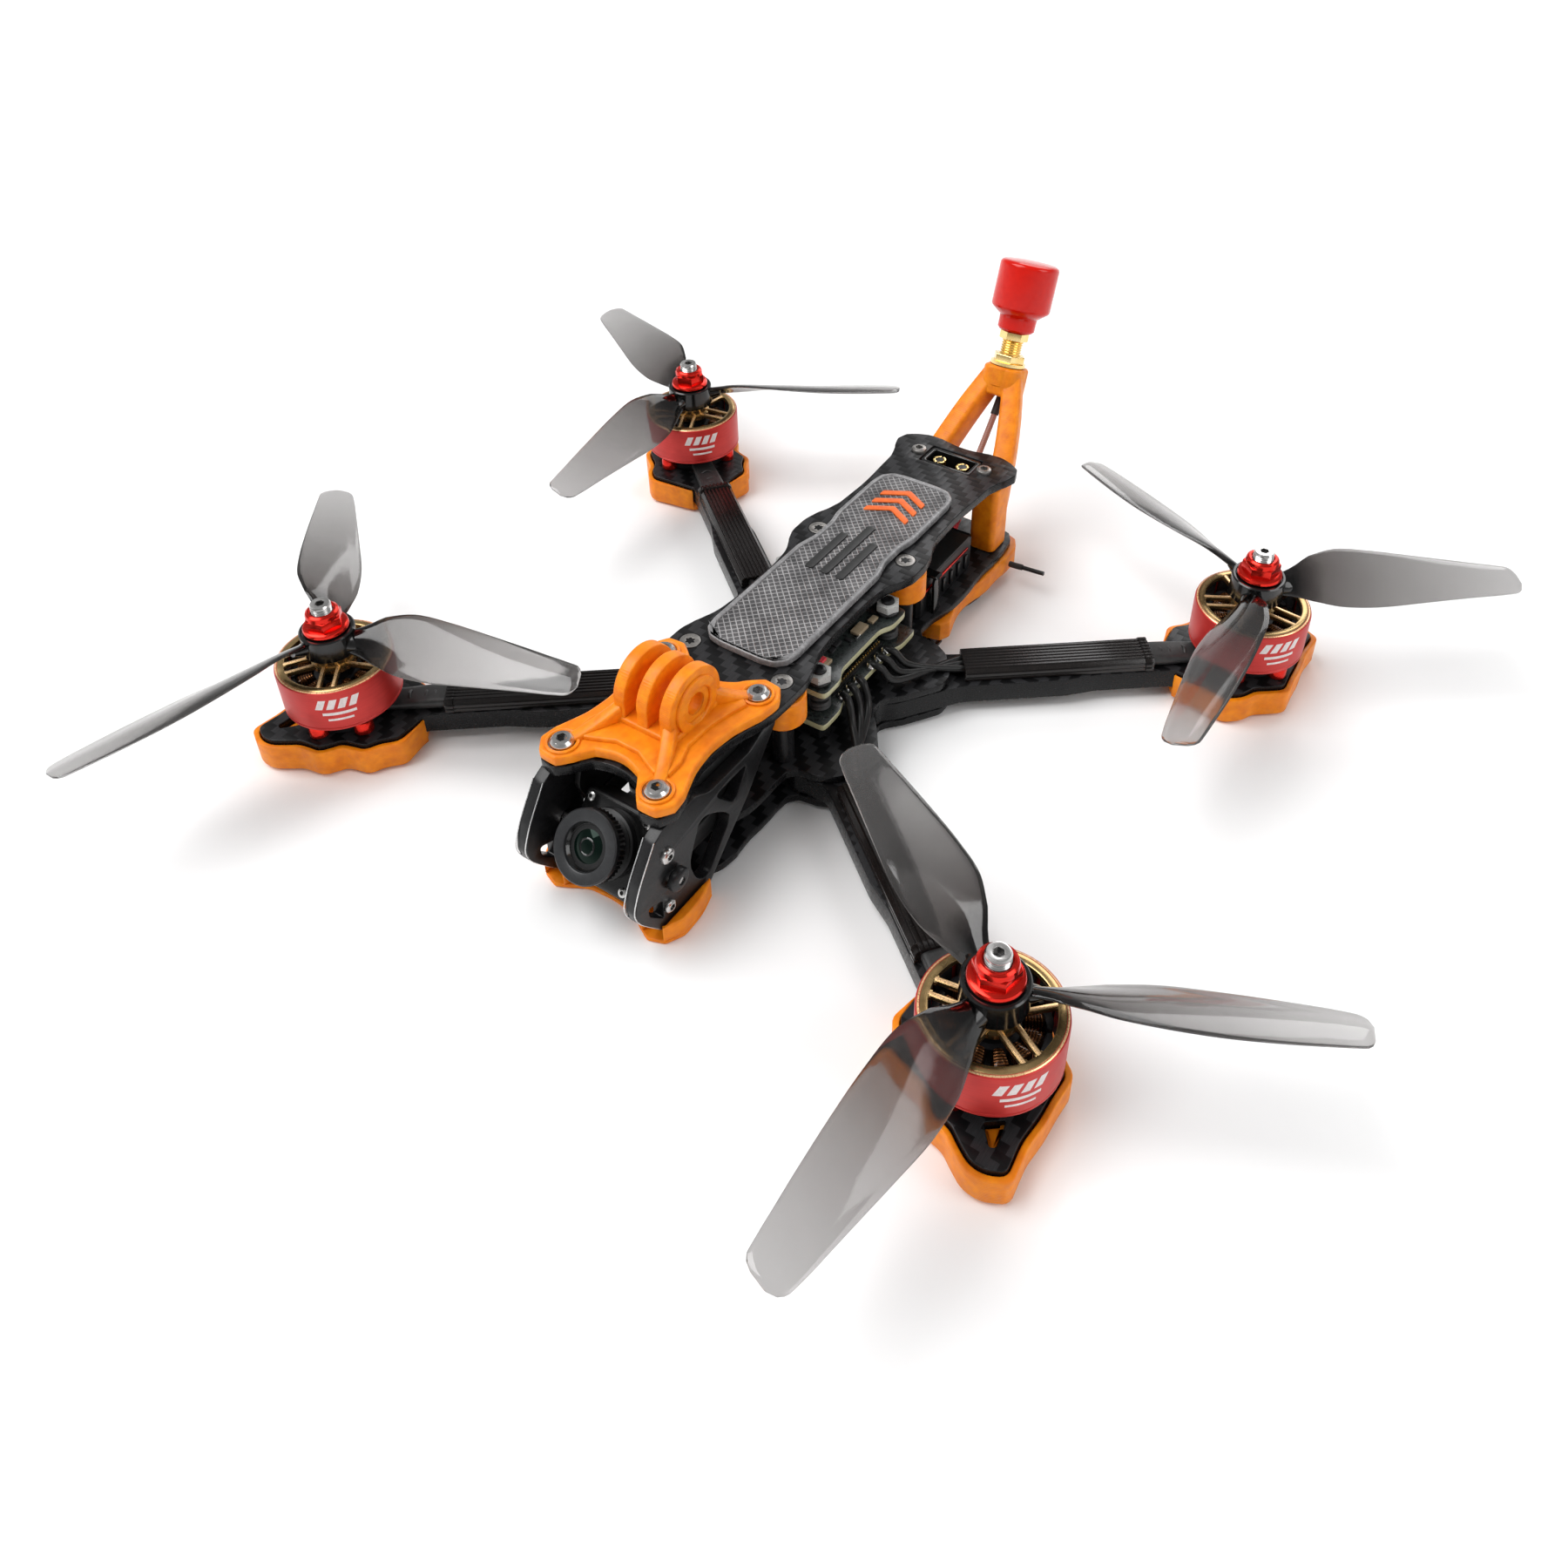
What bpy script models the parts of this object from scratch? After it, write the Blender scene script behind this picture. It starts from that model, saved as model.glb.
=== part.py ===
"""A 5-inch FPV racing drone with three-bladed propellers, as separate parts.

Metres, +Z up. The nose points along -Y and +X is the drone's left side. The origin is on the underside of
the bottom plate, midway between the four motors.
"""

from math import atan2, cos, hypot, pi, radians, sin

import bmesh
import bpy
from mathutils import Matrix, Vector

MM = 0.001

# Clearances
GAP = 0.3 * MM  # between two pieces that touch
BORE_GAP = 0.3 * MM  # radial, round a post or a shaft
ROTOR_GAP = 0.5 * MM  # radial, between the stator and the bell

# Overall sizes
MOTOR_X = 88.9 * MM
MOTOR_Y = 69.75 * MM
PROP_RADIUS = 64.8 * MM
DECK_SPACE = 20.3 * MM  # height of the standoffs
BODY_SIDE = 21.5 * MM  # half width of the body between the arms

# Carbon plates and arms, from the bottom up
BOTTOM_THICK = 2.0 * MM
ARM_THICK = 5.5 * MM
MID_THICK = 2.0 * MM
TOP_THICK = 2.5 * MM
ARM_Z = BOTTOM_THICK + GAP
ARM_TOP = ARM_Z + ARM_THICK
MID_Z = ARM_TOP + GAP
MID_TOP = MID_Z + MID_THICK
TOP_Z = MID_TOP + GAP + DECK_SPACE + GAP
TOP_TOP = TOP_Z + TOP_THICK
PLATE_CORNER = 2.5 * MM  # how far a plate's corners are cut back

# Arms
ARM_LENGTH = hypot(MOTOR_X, MOTOR_Y)
ARM_ANGLE = atan2(MOTOR_Y, MOTOR_X)
ARM_HALF_ROOT = 6.2 * MM
ARM_HALF_TIP = 5.0 * MM
ROOT_RADIUS = 37.0 * MM  # where the plates stop along an arm
TIP_TURN = radians(20.0)  # the motor mount's point is turned this far from the arm
MOTOR_BORE = 3.5 * MM

# Guards and bumpers in soft plastic
GUARD_BOTTOM = -1.0 * MM
GUARD_WALL = 1.3 * MM
GUARD_LIP = 1.0 * MM  # the wall stops this far under the arm's top
GUARD_FLOOR = 2.7 * MM

# Fastenings
POST_HALF = 15.25 * MM  # half of the 30.5 mm stack pattern
POST_RADIUS = 1.5 * MM
STANDOFF_RADIUS = 2.5 * MM
STANDOFF_X = 13.0 * MM
STANDOFF_Y = 27.0 * MM
REAR_STANDOFF_X = 10.25 * MM
REAR_STANDOFF_Y = 74.2 * MM
REAR_STANDOFF_RADIUS = 2.25 * MM

# Electronics
ESC_Z = 17.0 * MM
FC_Z = 24.2 * MM
BOARD_THICK = 1.6 * MM
NUT_TOP = TOP_Z - 1.2 * MM
VTX_Y = 48.0 * MM
XT60_HALF_X = 7.6 * MM
XT60_HALF_Y = 4.0 * MM

# Camera
CAGE_OUTER = 16.5 * MM
CAGE_THICK = 3.0 * MM
CAGE_INNER = CAGE_OUTER - CAGE_THICK
PIVOT = Vector((0.0, -72.0 * MM, 15.2 * MM))
CAMERA_TILT = radians(38.0)
CAMERA_HALF = 9.5 * MM
CAMERA_AHEAD = 2.0 * MM  # from the pivot to the body's front
CAMERA_BEHIND = 5.5 * MM
LENS_REACH = 10.4 * MM

# Action camera mount
MOUNT_THICK = 2.7 * MM
MOUNT_Z = TOP_TOP + GAP
PRONG_Y = -50.5 * MM
PRONG_AXIS_Z = 41.3 * MM
PRONG_RADIUS = 8.6 * MM
PRONG_THICK = 3.0 * MM
PRONG_PITCH = 6.2 * MM
PRONG_BORE = 2.6 * MM

# Antenna
HUB = Vector((0.0, 105.0 * MM, 46.0 * MM))
HUB_LEAN = radians(20.0)
HUB_RADIUS = 5.8 * MM
HUB_HALF = 3.0 * MM
LEG_RADIUS = 3.5 * MM
COLUMN_OFFSET = 2.6 * MM  # the column sits this far outboard of its standoff
SMA_RADIUS = 3.1 * MM
RADOME_RADIUS = 8.4 * MM
RADOME_HEIGHT = 19.5 * MM

# Battery pad
PAD_Z = TOP_TOP + GAP
PAD_THICK = 1.8 * MM

# Motors
BASE_RADIUS = 11.6 * MM
BASE_THICK = 2.6 * MM
BELL_RADIUS = 14.1 * MM
BELL_WALL = 1.2 * MM
BELL_LIP = 0.8 * MM  # the ring's top turns in this much
BELL_LOW = ARM_TOP + 5.0 * MM
BELL_HEIGHT = 11.8 * MM
BELL_TOP = BELL_LOW + BELL_HEIGHT
BELL_FACE = 1.2 * MM
SHAFT_RADIUS = 2.5 * MM
SHAFT_END = 1.9 * MM  # how far the shaft stands out of the nut
SPOKES = 5
SPOKE_SPREAD = 1.7 * MM

# Propellers
HUB_LOW = BELL_TOP + 2.3 * MM
PROP_HUB_RADIUS = 6.5 * MM
PROP_HUB_HEIGHT = 6.2 * MM
PROP_HUB_TOP = HUB_LOW + PROP_HUB_HEIGHT
NUT_FLANGE = 5.4 * MM
NUT_HALF = 4.0 * MM
NUT_HEIGHT = 5.2 * MM
SHAFT_TOP = PROP_HUB_TOP + GAP + NUT_HEIGHT + SHAFT_END

# Wire covers on the arms
COVER_START = 40.5 * MM
COVER_END = 88.0 * MM
COVER_WIDTH = 9.6 * MM
COVER_HEIGHT = 3.4 * MM

CORNERS = {
    "front_left": (1, -1),
    "front_right": (-1, -1),
    "rear_right": (-1, 1),
    "rear_left": (1, 1),
}
# Rest angle of the first blade, and which way each rotor turns seen from above (1 is anticlockwise)
BLADE_ANGLE = {"front_left": 26.7, "front_right": 16.9, "rear_right": 35.1, "rear_left": 32.6}
SPIN = {"front_left": -1, "front_right": 1, "rear_right": -1, "rear_left": 1}
BELL_ANGLE = {"front_left": -27.0, "front_right": -50.0, "rear_right": 10.0, "rear_left": -7.0}

# Name: colour, roughness, metallic
FINISHES = {
    "carbon": ((0.03, 0.03, 0.032), 0.35, 0.0),
    "orange_tpu": ((0.9, 0.3, 0.01), 0.5, 0.0),
    "black_metal": ((0.02, 0.02, 0.022), 0.4, 0.8),
    "black_plastic": ((0.02, 0.02, 0.02), 0.4, 0.0),
    "circuit_board": ((0.02, 0.025, 0.02), 0.4, 0.0),
    "red_metal": ((0.7, 0.03, 0.02), 0.3, 0.8),
    "red_plastic": ((0.8, 0.02, 0.01), 0.25, 0.0),
    "gold": ((0.8, 0.55, 0.2), 0.3, 1.0),
    "steel": ((0.6, 0.6, 0.6), 0.3, 1.0),
    "copper": ((0.5, 0.2, 0.08), 0.4, 0.9),
    "smoke_plastic": ((0.2, 0.19, 0.19), 0.15, 0.0),
    "clear_tpu": ((0.6, 0.58, 0.56), 0.4, 0.0),
    "pink_wire": ((0.5, 0.3, 0.25), 0.5, 0.0),
}


def clear_scene():
    for obj in list(bpy.data.objects):
        bpy.data.objects.remove(obj, do_unlink=True)


def make_collection(name, hidden=False):
    collection = bpy.data.collections.new(name)
    bpy.context.scene.collection.children.link(collection)
    collection.hide_render = hidden
    return collection


clear_scene()
PARTS = make_collection("fpv_racing_drone")
CUTTERS = make_collection("cutters", hidden=True)


# ---- Materials and objects ----


def finish_of(name):
    """The Principled material of this name, made on first use."""
    material = bpy.data.materials.get(name)
    if material is None:
        colour, roughness, metallic = FINISHES[name]
        material = bpy.data.materials.new(name)
        material.use_nodes = True
        shader = material.node_tree.nodes["Principled BSDF"]
        shader.inputs["Base Color"].default_value = (*colour, 1.0)
        shader.inputs["Roughness"].default_value = roughness
        shader.inputs["Metallic"].default_value = metallic
        material.diffuse_color = (*colour, 1.0)
    return material


def new_object(name, mesh, finish):
    obj = bpy.data.objects.new(name, mesh)
    PARTS.objects.link(obj)
    mesh.materials.clear()
    mesh.materials.append(finish_of(finish))
    return obj


def mesh_from(bm, name):
    bmesh.ops.recalc_face_normals(bm, faces=bm.faces)
    mesh = bpy.data.meshes.new(name)
    bm.to_mesh(mesh)
    bm.free()
    return mesh


def helper(mesh, name="helper"):
    """A shape that is only joined to a part or cut from it."""
    obj = bpy.data.objects.new(name, mesh)
    CUTTERS.objects.link(obj)
    obj.hide_render = True
    obj.display_type = "WIRE"
    return obj


def boolean(obj, other, operation):
    modifier = obj.modifiers.new(operation.lower(), "BOOLEAN")
    modifier.object = other
    modifier.operation = operation
    modifier.solver = "EXACT"


def cut(obj, *meshes):
    for mesh in meshes:
        boolean(obj, helper(mesh), "DIFFERENCE")


def join(obj, *meshes):
    for mesh in meshes:
        boolean(obj, helper(mesh), "UNION")


def smooth(mesh, angle=35.0):
    mesh.shade_smooth()
    mesh.set_sharp_from_angle(angle=radians(angle))
    return mesh


# ---- Outlines ----


def mm(points):
    return [tuple(value * MM for value in point) for point in points]


def mirrored(points):
    """A closed outline from its half at +X, listed from the nose to the tail."""
    return list(points) + [(-x, y) for x, y in reversed(points)]


def circle(x, y, radius, count=10):
    return [(x + radius * cos(2 * pi * i / count), y + radius * sin(2 * pi * i / count)) for i in range(count)]


def rectangle(x, y, half_x, half_y):
    return [(x - half_x, y - half_y), (x + half_x, y - half_y), (x + half_x, y + half_y), (x - half_x, y + half_y)]


def signed_area(points):
    return sum(a[0] * b[1] - b[0] * a[1] for a, b in zip(points, points[1:] + points[:1])) / 2


def rounded(points, radius, steps=1):
    """The outline with each corner cut back by about radius and filled with a short arc."""
    out = []
    count = len(points)
    for i in range(count):
        here = Vector(points[i])
        back = Vector(points[i - 1]) - here
        ahead = Vector(points[(i + 1) % count]) - here
        reach = min(radius, 0.45 * back.length, 0.45 * ahead.length)
        first = here + back.normalized() * reach
        last = here + ahead.normalized() * reach
        for k in range(steps + 1):
            t = k / steps
            out.append(tuple(first * (1 - t) ** 2 + here * 2 * t * (1 - t) + last * t * t))
    return out


def grown(points, distance):
    """The outline moved outward by distance along the corners' bisectors."""
    turn = 1 if signed_area(points) > 0 else -1
    out = []
    count = len(points)
    for i in range(count):
        here = Vector(points[i])
        before = (here - Vector(points[i - 1])).normalized()
        after = (Vector(points[(i + 1) % count]) - here).normalized()
        normal_a = Vector((before.y, -before.x)) * turn
        normal_b = Vector((after.y, -after.x)) * turn
        both = normal_a + normal_b
        scale = min(2.0 / max(both.length_squared, 1e-9), 1.6)
        out.append(tuple(here + both * scale * distance))
    return out


# ---- Solids ----


def plate_mesh(name, outline, low, high, holes=()):
    """A flat plate from an outline and its holes, made as a filled 2D curve and turned into a mesh."""
    curve = bpy.data.curves.new(name, "CURVE")
    curve.dimensions = "2D"
    curve.fill_mode = "BOTH"
    curve.extrude = (high - low) / 2
    for ring in (outline, *holes):
        spline = curve.splines.new("POLY")
        spline.points.add(len(ring) - 1)
        for point, (x, y) in zip(spline.points, ring):
            point.co = (x, y, 0.0, 1.0)
        spline.use_cyclic_u = True
    flat = bpy.data.objects.new(name, curve)
    PARTS.objects.link(flat)
    graph = bpy.context.evaluated_depsgraph_get()
    mesh = bpy.data.meshes.new_from_object(flat.evaluated_get(graph))
    bpy.data.objects.remove(flat, do_unlink=True)
    bpy.data.curves.remove(curve)
    bm = bmesh.new()
    bm.from_mesh(mesh)
    bpy.data.meshes.remove(mesh)
    bmesh.ops.remove_doubles(bm, verts=bm.verts, dist=1e-6)
    bmesh.ops.translate(bm, verts=bm.verts, vec=(0.0, 0.0, (low + high) / 2))
    return mesh_from(bm, name)


def upright_mesh(name, outline_yz, low_x, high_x, holes=()):
    """A plate that stands in the YZ plane, between two X values."""
    mesh = plate_mesh(name, outline_yz, low_x, high_x, holes)
    mesh.transform(Matrix(((0, 0, 1, 0), (1, 0, 0, 0), (0, 1, 0, 0), (0, 0, 0, 1))))
    return mesh


def cylinder_mesh(radius, low, high, centre=(0.0, 0.0), sides=16, radius_top=None):
    bm = bmesh.new()
    top = radius if radius_top is None else radius_top
    place = Matrix.Translation((centre[0], centre[1], (low + high) / 2))
    bmesh.ops.create_cone(
        bm, cap_ends=True, segments=sides, radius1=radius, radius2=top, depth=high - low, matrix=place
    )
    return smooth(mesh_from(bm, "cylinder"))


def rod_mesh(start, end, radius, sides=12, radius_end=None):
    """A round bar between two points."""
    start, end = Vector(start), Vector(end)
    line = end - start
    bm = bmesh.new()
    turn = line.to_track_quat("Z", "Y").to_matrix().to_4x4()
    place = Matrix.Translation((start + end) / 2) @ turn
    last = radius if radius_end is None else radius_end
    bmesh.ops.create_cone(
        bm, cap_ends=True, segments=sides, radius1=radius, radius2=last, depth=line.length, matrix=place
    )
    return smooth(mesh_from(bm, "rod"))


def box_mesh(low, high):
    low, high = Vector(low), Vector(high)
    bm = bmesh.new()
    bmesh.ops.create_cube(bm, size=1.0)
    bmesh.ops.scale(bm, vec=high - low, verts=bm.verts)
    bmesh.ops.translate(bm, vec=(low + high) / 2, verts=bm.verts)
    return mesh_from(bm, "box")


def turned_mesh(profile, sides=24):
    """A solid of revolution about Z, from (radius, height) points that run from the top to the bottom."""
    bm = bmesh.new()
    points = [bm.verts.new((radius, 0.0, height)) for radius, height in profile]
    for a, b in zip(points, points[1:]):
        bm.edges.new((a, b))
    mesh = bpy.data.meshes.new("profile")
    bm.to_mesh(mesh)
    bm.free()
    obj = helper(mesh, "profile")
    screw = obj.modifiers.new("turn", "SCREW")
    screw.steps = sides
    screw.render_steps = sides
    screw.use_merge_vertices = True
    screw.merge_threshold = 1e-6
    graph = bpy.context.evaluated_depsgraph_get()
    turned = bpy.data.meshes.new_from_object(obj.evaluated_get(graph))
    bpy.data.objects.remove(obj, do_unlink=True)
    bm = bmesh.new()
    bm.from_mesh(turned)
    bpy.data.meshes.remove(turned)
    bmesh.ops.remove_doubles(bm, verts=bm.verts, dist=1e-6)
    return smooth(mesh_from(bm, "turned"))


def moved(mesh, offset=(0.0, 0.0, 0.0), turn=None):
    place = Matrix.Translation(offset)
    mesh.transform(place @ turn if turn is not None else place)
    return mesh


def to_corner(points, corner):
    """Points in the +X +Y quarter moved to the named quarter."""
    side, end = CORNERS[corner]
    return [(x * side, y * end) for x, y in points]


# ---- Frame outlines, in the +X +Y quarter ----


def on_arm(reach, side):
    """A point on the arm: reach along it from the body's centre, and side across it."""
    return (reach * cos(ARM_ANGLE) - side * sin(ARM_ANGLE), reach * sin(ARM_ANGLE) + side * cos(ARM_ANGLE))


def motor_mount_outline():
    """The wavy end of an arm, as (angle from the mount's point, radius from the motor's axis)."""
    polar = (
        (-140, 17.2), (-128, 15.6), (-115, 13.0), (-100, 13.3), (-84, 14.5), (-64, 12.8), (-40, 13.4),
        (-18, 15.8),
        (-5, 21.2), (5, 20.9), (13, 19.6), (21, 16.9), (30, 14.6), (42, 14.2), (53, 14.5), (63, 13.1),
        (74, 12.0),
        (86, 13.6), (95, 15.8), (107, 15.9), (120, 18.6),
    )
    out = []
    for angle, radius in polar:
        turn = ARM_ANGLE + TIP_TURN + radians(angle)
        out.append((MOTOR_X + radius * MM * cos(turn), MOTOR_Y + radius * MM * sin(turn)))
    return out


def arm_sides():
    """Reach and half width along the straight part of an arm, from the body outwards."""
    narrow = ARM_LENGTH - 19.0 * MM
    return (
        (ROOT_RADIUS + 3.0 * MM, ARM_HALF_ROOT),
        (66.0 * MM, ARM_HALF_ROOT),
        (74.0 * MM, ARM_HALF_TIP),
        (narrow, ARM_HALF_TIP),
    )


def body_flank():
    """The edge between the front and rear arms on one side, from the middle out to the arm's side."""
    return [(BODY_SIDE, 0.0), (BODY_SIDE + 0.6 * MM, 2.8 * MM), (BODY_SIDE + 3.3 * MM, 5.1 * MM)]


def body_shoulder():
    """The edge from an arm's other side in to the waist of the long plates."""
    return mm([(19.5, 28.2), (16.7, 29.3)])


def arm_outline():
    lower = [on_arm(reach, -half) for reach, half in arm_sides()]
    upper = [on_arm(reach, half) for reach, half in reversed(arm_sides())]
    flank = [(x - GAP, max(y, GAP / 2)) for x, y in body_flank()]
    root_in = on_arm(ROOT_RADIUS - 0.5 * MM, -7.0 * MM)
    root_out = on_arm(ROOT_RADIUS, 6.4 * MM)
    shoulder = [(x - GAP, y - GAP) for x, y in body_shoulder()]
    inner = [(13.0 * MM, 26.5 * MM), (GAP / 2, 24.0 * MM), (GAP / 2, GAP / 2)]
    return [*flank, root_in, *lower, *motor_mount_outline(), *upper, root_out, *shoulder, *inner]


def centre_outline(end_points):
    """Half of a long plate at +X: end_points gives the nose's and the tail's edges."""
    nose, tail = end_points
    quarter = [
        *reversed(body_shoulder()),
        on_arm(ROOT_RADIUS, 6.4 * MM),
        on_arm(ROOT_RADIUS - 0.5 * MM, -7.0 * MM),
        *reversed(body_flank()),
    ]
    front = [(x, -y) for x, y in quarter]
    rear = list(reversed(quarter))[1:]
    return [*nose, *front, *rear, *tail]


# The noses follow the camera plates, so X counts from their outer faces.
BOTTOM_NOSE_HALF = [(CAGE_OUTER + x, y) for x, y in mm([
    (-6.5, -73.5), (-3.5, -70.0), (-3.5, -60.0), (0.3, -53.0), (-1.1, -47.0), (-0.3, -39.0), (-0.7, -33.0),
])]
MID_NOSE_HALF = [(CAGE_OUTER + x, y) for x, y in mm([
    (-3.6, -54.0), (-3.6, -50.5), (-1.1, -46.5), (-0.3, -39.0), (-0.7, -33.0),
])]
MID_TAIL_HALF = mm([(16.2, 34.0), (18.4, 43.0), (18.8, 52.0), (18.0, 60.0), (18.6, 70.0), (18.4, 76.0), (17.4, 81.0),
                    (14.2, 83.0), (8.0, 82.0)])
BOTTOM_TAIL_HALF = mm([(15.0, 34.0), (13.6, 44.0), (14.8, 54.0), (17.6, 60.0), (17.2, 66.0), (13.6, 71.0),
                       (11.0, 78.0), (7.0, 80.0)])


def stack_holes(radius):
    return [circle(x * POST_HALF, y * POST_HALF, radius, 8) for x, y in CORNERS.values()]


def make_bottom_plate():
    outline = rounded(mirrored(centre_outline((BOTTOM_NOSE_HALF, BOTTOM_TAIL_HALF))), PLATE_CORNER)
    holes = stack_holes(POST_RADIUS + BORE_GAP)
    mesh = plate_mesh("bottom_plate", outline, 0.0, BOTTOM_THICK, holes)
    new_object("bottom_plate", mesh, "carbon")


def standoff_places():
    """Name: x, y, radius of every post between the mid plate and the top plate."""
    places = {}
    for corner, (side, end) in CORNERS.items():
        places[f"standoff_{corner}"] = (side * STANDOFF_X, end * STANDOFF_Y, STANDOFF_RADIUS)
    for side, name in ((1, "tail_left"), (-1, "tail_right")):
        places[f"standoff_{name}"] = (side * REAR_STANDOFF_X, REAR_STANDOFF_Y, REAR_STANDOFF_RADIUS)
    return places


def make_mid_plate():
    outline = rounded(mirrored(centre_outline((MID_NOSE_HALF, MID_TAIL_HALF))), PLATE_CORNER)
    holes = stack_holes(POST_RADIUS + BORE_GAP)
    mesh = plate_mesh("mid_plate", outline, MID_Z, MID_TOP, holes)
    new_object("mid_plate", mesh, "carbon")


def make_arms():
    outline = arm_outline()
    bore = [circle(POST_HALF, POST_HALF, POST_RADIUS + BORE_GAP, 8), circle(MOTOR_X, MOTOR_Y, MOTOR_BORE, 10)]
    window = arm_window()
    for corner in CORNERS:
        holes = [to_corner(hole, corner) for hole in (*bore, window)]
        mesh = plate_mesh(f"arm_{corner}", to_corner(outline, corner), ARM_Z, ARM_TOP, holes)
        new_object(f"arm_{corner}", mesh, "carbon")


def arm_window():
    """The small triangular opening near an arm's point."""
    turn = ARM_ANGLE + TIP_TURN
    out = []
    for reach, side in mm([(11.4, -2.6), (16.6, -0.5), (16.6, 0.9), (11.9, 1.6)]):
        x = MOTOR_X + reach * cos(turn) - side * sin(turn)
        y = MOTOR_Y + reach * sin(turn) + side * cos(turn)
        out.append((x, y))
    return out


def guard_outline():
    """The part of an arm's outline that its guard wraps."""
    narrow = arm_sides()[-1]
    start = on_arm(narrow[0] + 1.5 * MM, -narrow[1] - 0.3 * MM)
    end = on_arm(narrow[0] + 1.5 * MM, narrow[1] + 0.3 * MM)
    return [start, *motor_mount_outline(), end]


def make_arm_guards():
    """A cup round each arm's end, open where the arm enters it."""
    narrow, half = arm_sides()[-1]
    entry = narrow - 10.0 * MM
    outer = grown(guard_outline(), GUARD_WALL + GAP)
    held = [
        on_arm(entry, -half), on_arm(narrow, -half), *motor_mount_outline(), on_arm(narrow, half), on_arm(entry, half),
    ]
    pocket = grown(held, GAP)
    top = ARM_TOP - GUARD_LIP
    for corner in CORNERS:
        name = f"arm_guard_{corner}"
        mesh = plate_mesh(name, to_corner(outer, corner), GUARD_BOTTOM, top)
        guard = new_object(name, mesh, "orange_tpu")
        cut(guard, plate_mesh("pocket", to_corner(pocket, corner), ARM_Z - GAP, ARM_TOP))


TOP_HALF = mm([(4.0, -67.5), (8.0, -70.0), (9.5, -74.0), (14.0, -75.5), (17.6, -72.5), (17.4, -67.0), (14.2, -61.0),
               (13.6, -54.0), (14.8, -46.0), (17.2, -40.0), (17.8, -33.0), (17.8, -22.0), (15.2, -17.5),
               (13.9, -10.0),
               (13.9, 10.0), (15.2, 17.0), (18.2, 20.5), (18.4, 31.0), (15.0, 37.5), (14.4, 52.0),
               (15.2, 63.0),
               (15.6, 70.0), (18.5, 74.5), (18.7, 78.5), (16.5, 81.2), (9.3, 83.8), (4.5, 81.7)])


def make_top_plate():
    outline = rounded(mirrored(TOP_HALF), 2.5 * MM)
    socket = rectangle(0.0, REAR_STANDOFF_Y, XT60_HALF_X + GAP, XT60_HALF_Y + GAP)
    mesh = plate_mesh("top_plate", outline, TOP_Z, TOP_TOP, [socket])
    new_object("top_plate", mesh, "carbon")


def make_standoffs():
    for name, (x, y, radius) in standoff_places().items():
        mesh = cylinder_mesh(radius, MID_TOP + GAP, TOP_Z - GAP, (x, y), 10)
        new_object(name, mesh, "black_metal")


# ---- Camera ----

CAGE_FLOOR = MID_TOP + GAP


def cage_outline():
    """The camera plate's edge in Y and Z."""
    return [
        (-75.5 * MM, TOP_Z - GAP), (-83.2 * MM, 19.5 * MM), (-84.4 * MM, 12.8 * MM), (-76.0 * MM, 1.6 * MM),
        (-62.0 * MM, 0.6 * MM), (-52.0 * MM, CAGE_FLOOR), (-47.0 * MM, 14.5 * MM), (-33.0 * MM, TOP_Z - GAP),
        (-40.0 * MM, TOP_Z - GAP), (-42.5 * MM, 28.0 * MM), (-59.5 * MM, 28.0 * MM),
        (-61.5 * MM, TOP_Z - GAP),
    ]


def cage_windows():
    slot = mm([(-58.0, 21.5), (-52.9, 17.1), (-52.2, 14.7), (-61.4, 4.3), (-65.0, 7.3), (-66.7, 13.6), (-62.3, 23.4)])
    high = mm([(-57.0, 25.5), (-45.0, 25.5), (-50.5, 17.8)])
    low = mm([(-80.3, 13.2), (-75.9, 11.5), (-76.1, 6.0), (-80.2, 10.6)])
    return [rounded(slot, 1.2 * MM), rounded(high, 1.2 * MM), low]


def make_camera_plates():
    outline = rounded(cage_outline(), 2.0 * MM)
    holes = [*cage_windows(), circle(PIVOT.y, PIVOT.z, 1.8 * MM, 10)]
    for side, name in ((1, "camera_plate_left"), (-1, "camera_plate_right")):
        low, high = sorted((side * CAGE_INNER, side * CAGE_OUTER))
        mesh = upright_mesh(name, outline, low, high, holes)
        new_object(name, mesh, "black_metal")


def camera_frame():
    """From the camera's own axes, with the lens along -Y, to the drone's."""
    return Matrix.Translation(PIVOT) @ Matrix.Rotation(-CAMERA_TILT, 4, "X")


def make_camera():
    body = new_object(
        "camera_body",
        box_mesh((-CAMERA_HALF, -CAMERA_AHEAD, -CAMERA_HALF), (CAMERA_HALF, CAMERA_BEHIND, CAMERA_HALF)),
        "black_plastic",
    )
    bevel = body.modifiers.new("edges", "BEVEL")
    bevel.width = 1.2 * MM
    bevel.segments = 1
    body.matrix_world = camera_frame()
    start = CAMERA_AHEAD + GAP
    profile = [
        (0.0, LENS_REACH - 1.5 * MM), (4.6 * MM, LENS_REACH - 1.5 * MM), (5.0 * MM, LENS_REACH),
        (7.8 * MM, LENS_REACH), (8.0 * MM, LENS_REACH - 0.4 * MM), (8.0 * MM, LENS_REACH - 2.6 * MM),
        (7.0 * MM, LENS_REACH - 3.0 * MM), (7.0 * MM, start), (0.0, start),
    ]
    lens_mesh = moved(turned_mesh(profile, 24), turn=Matrix.Rotation(radians(90.0), 4, "X"))
    lens = new_object("camera_lens", lens_mesh, "black_plastic")
    lens.matrix_world = camera_frame()


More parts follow.
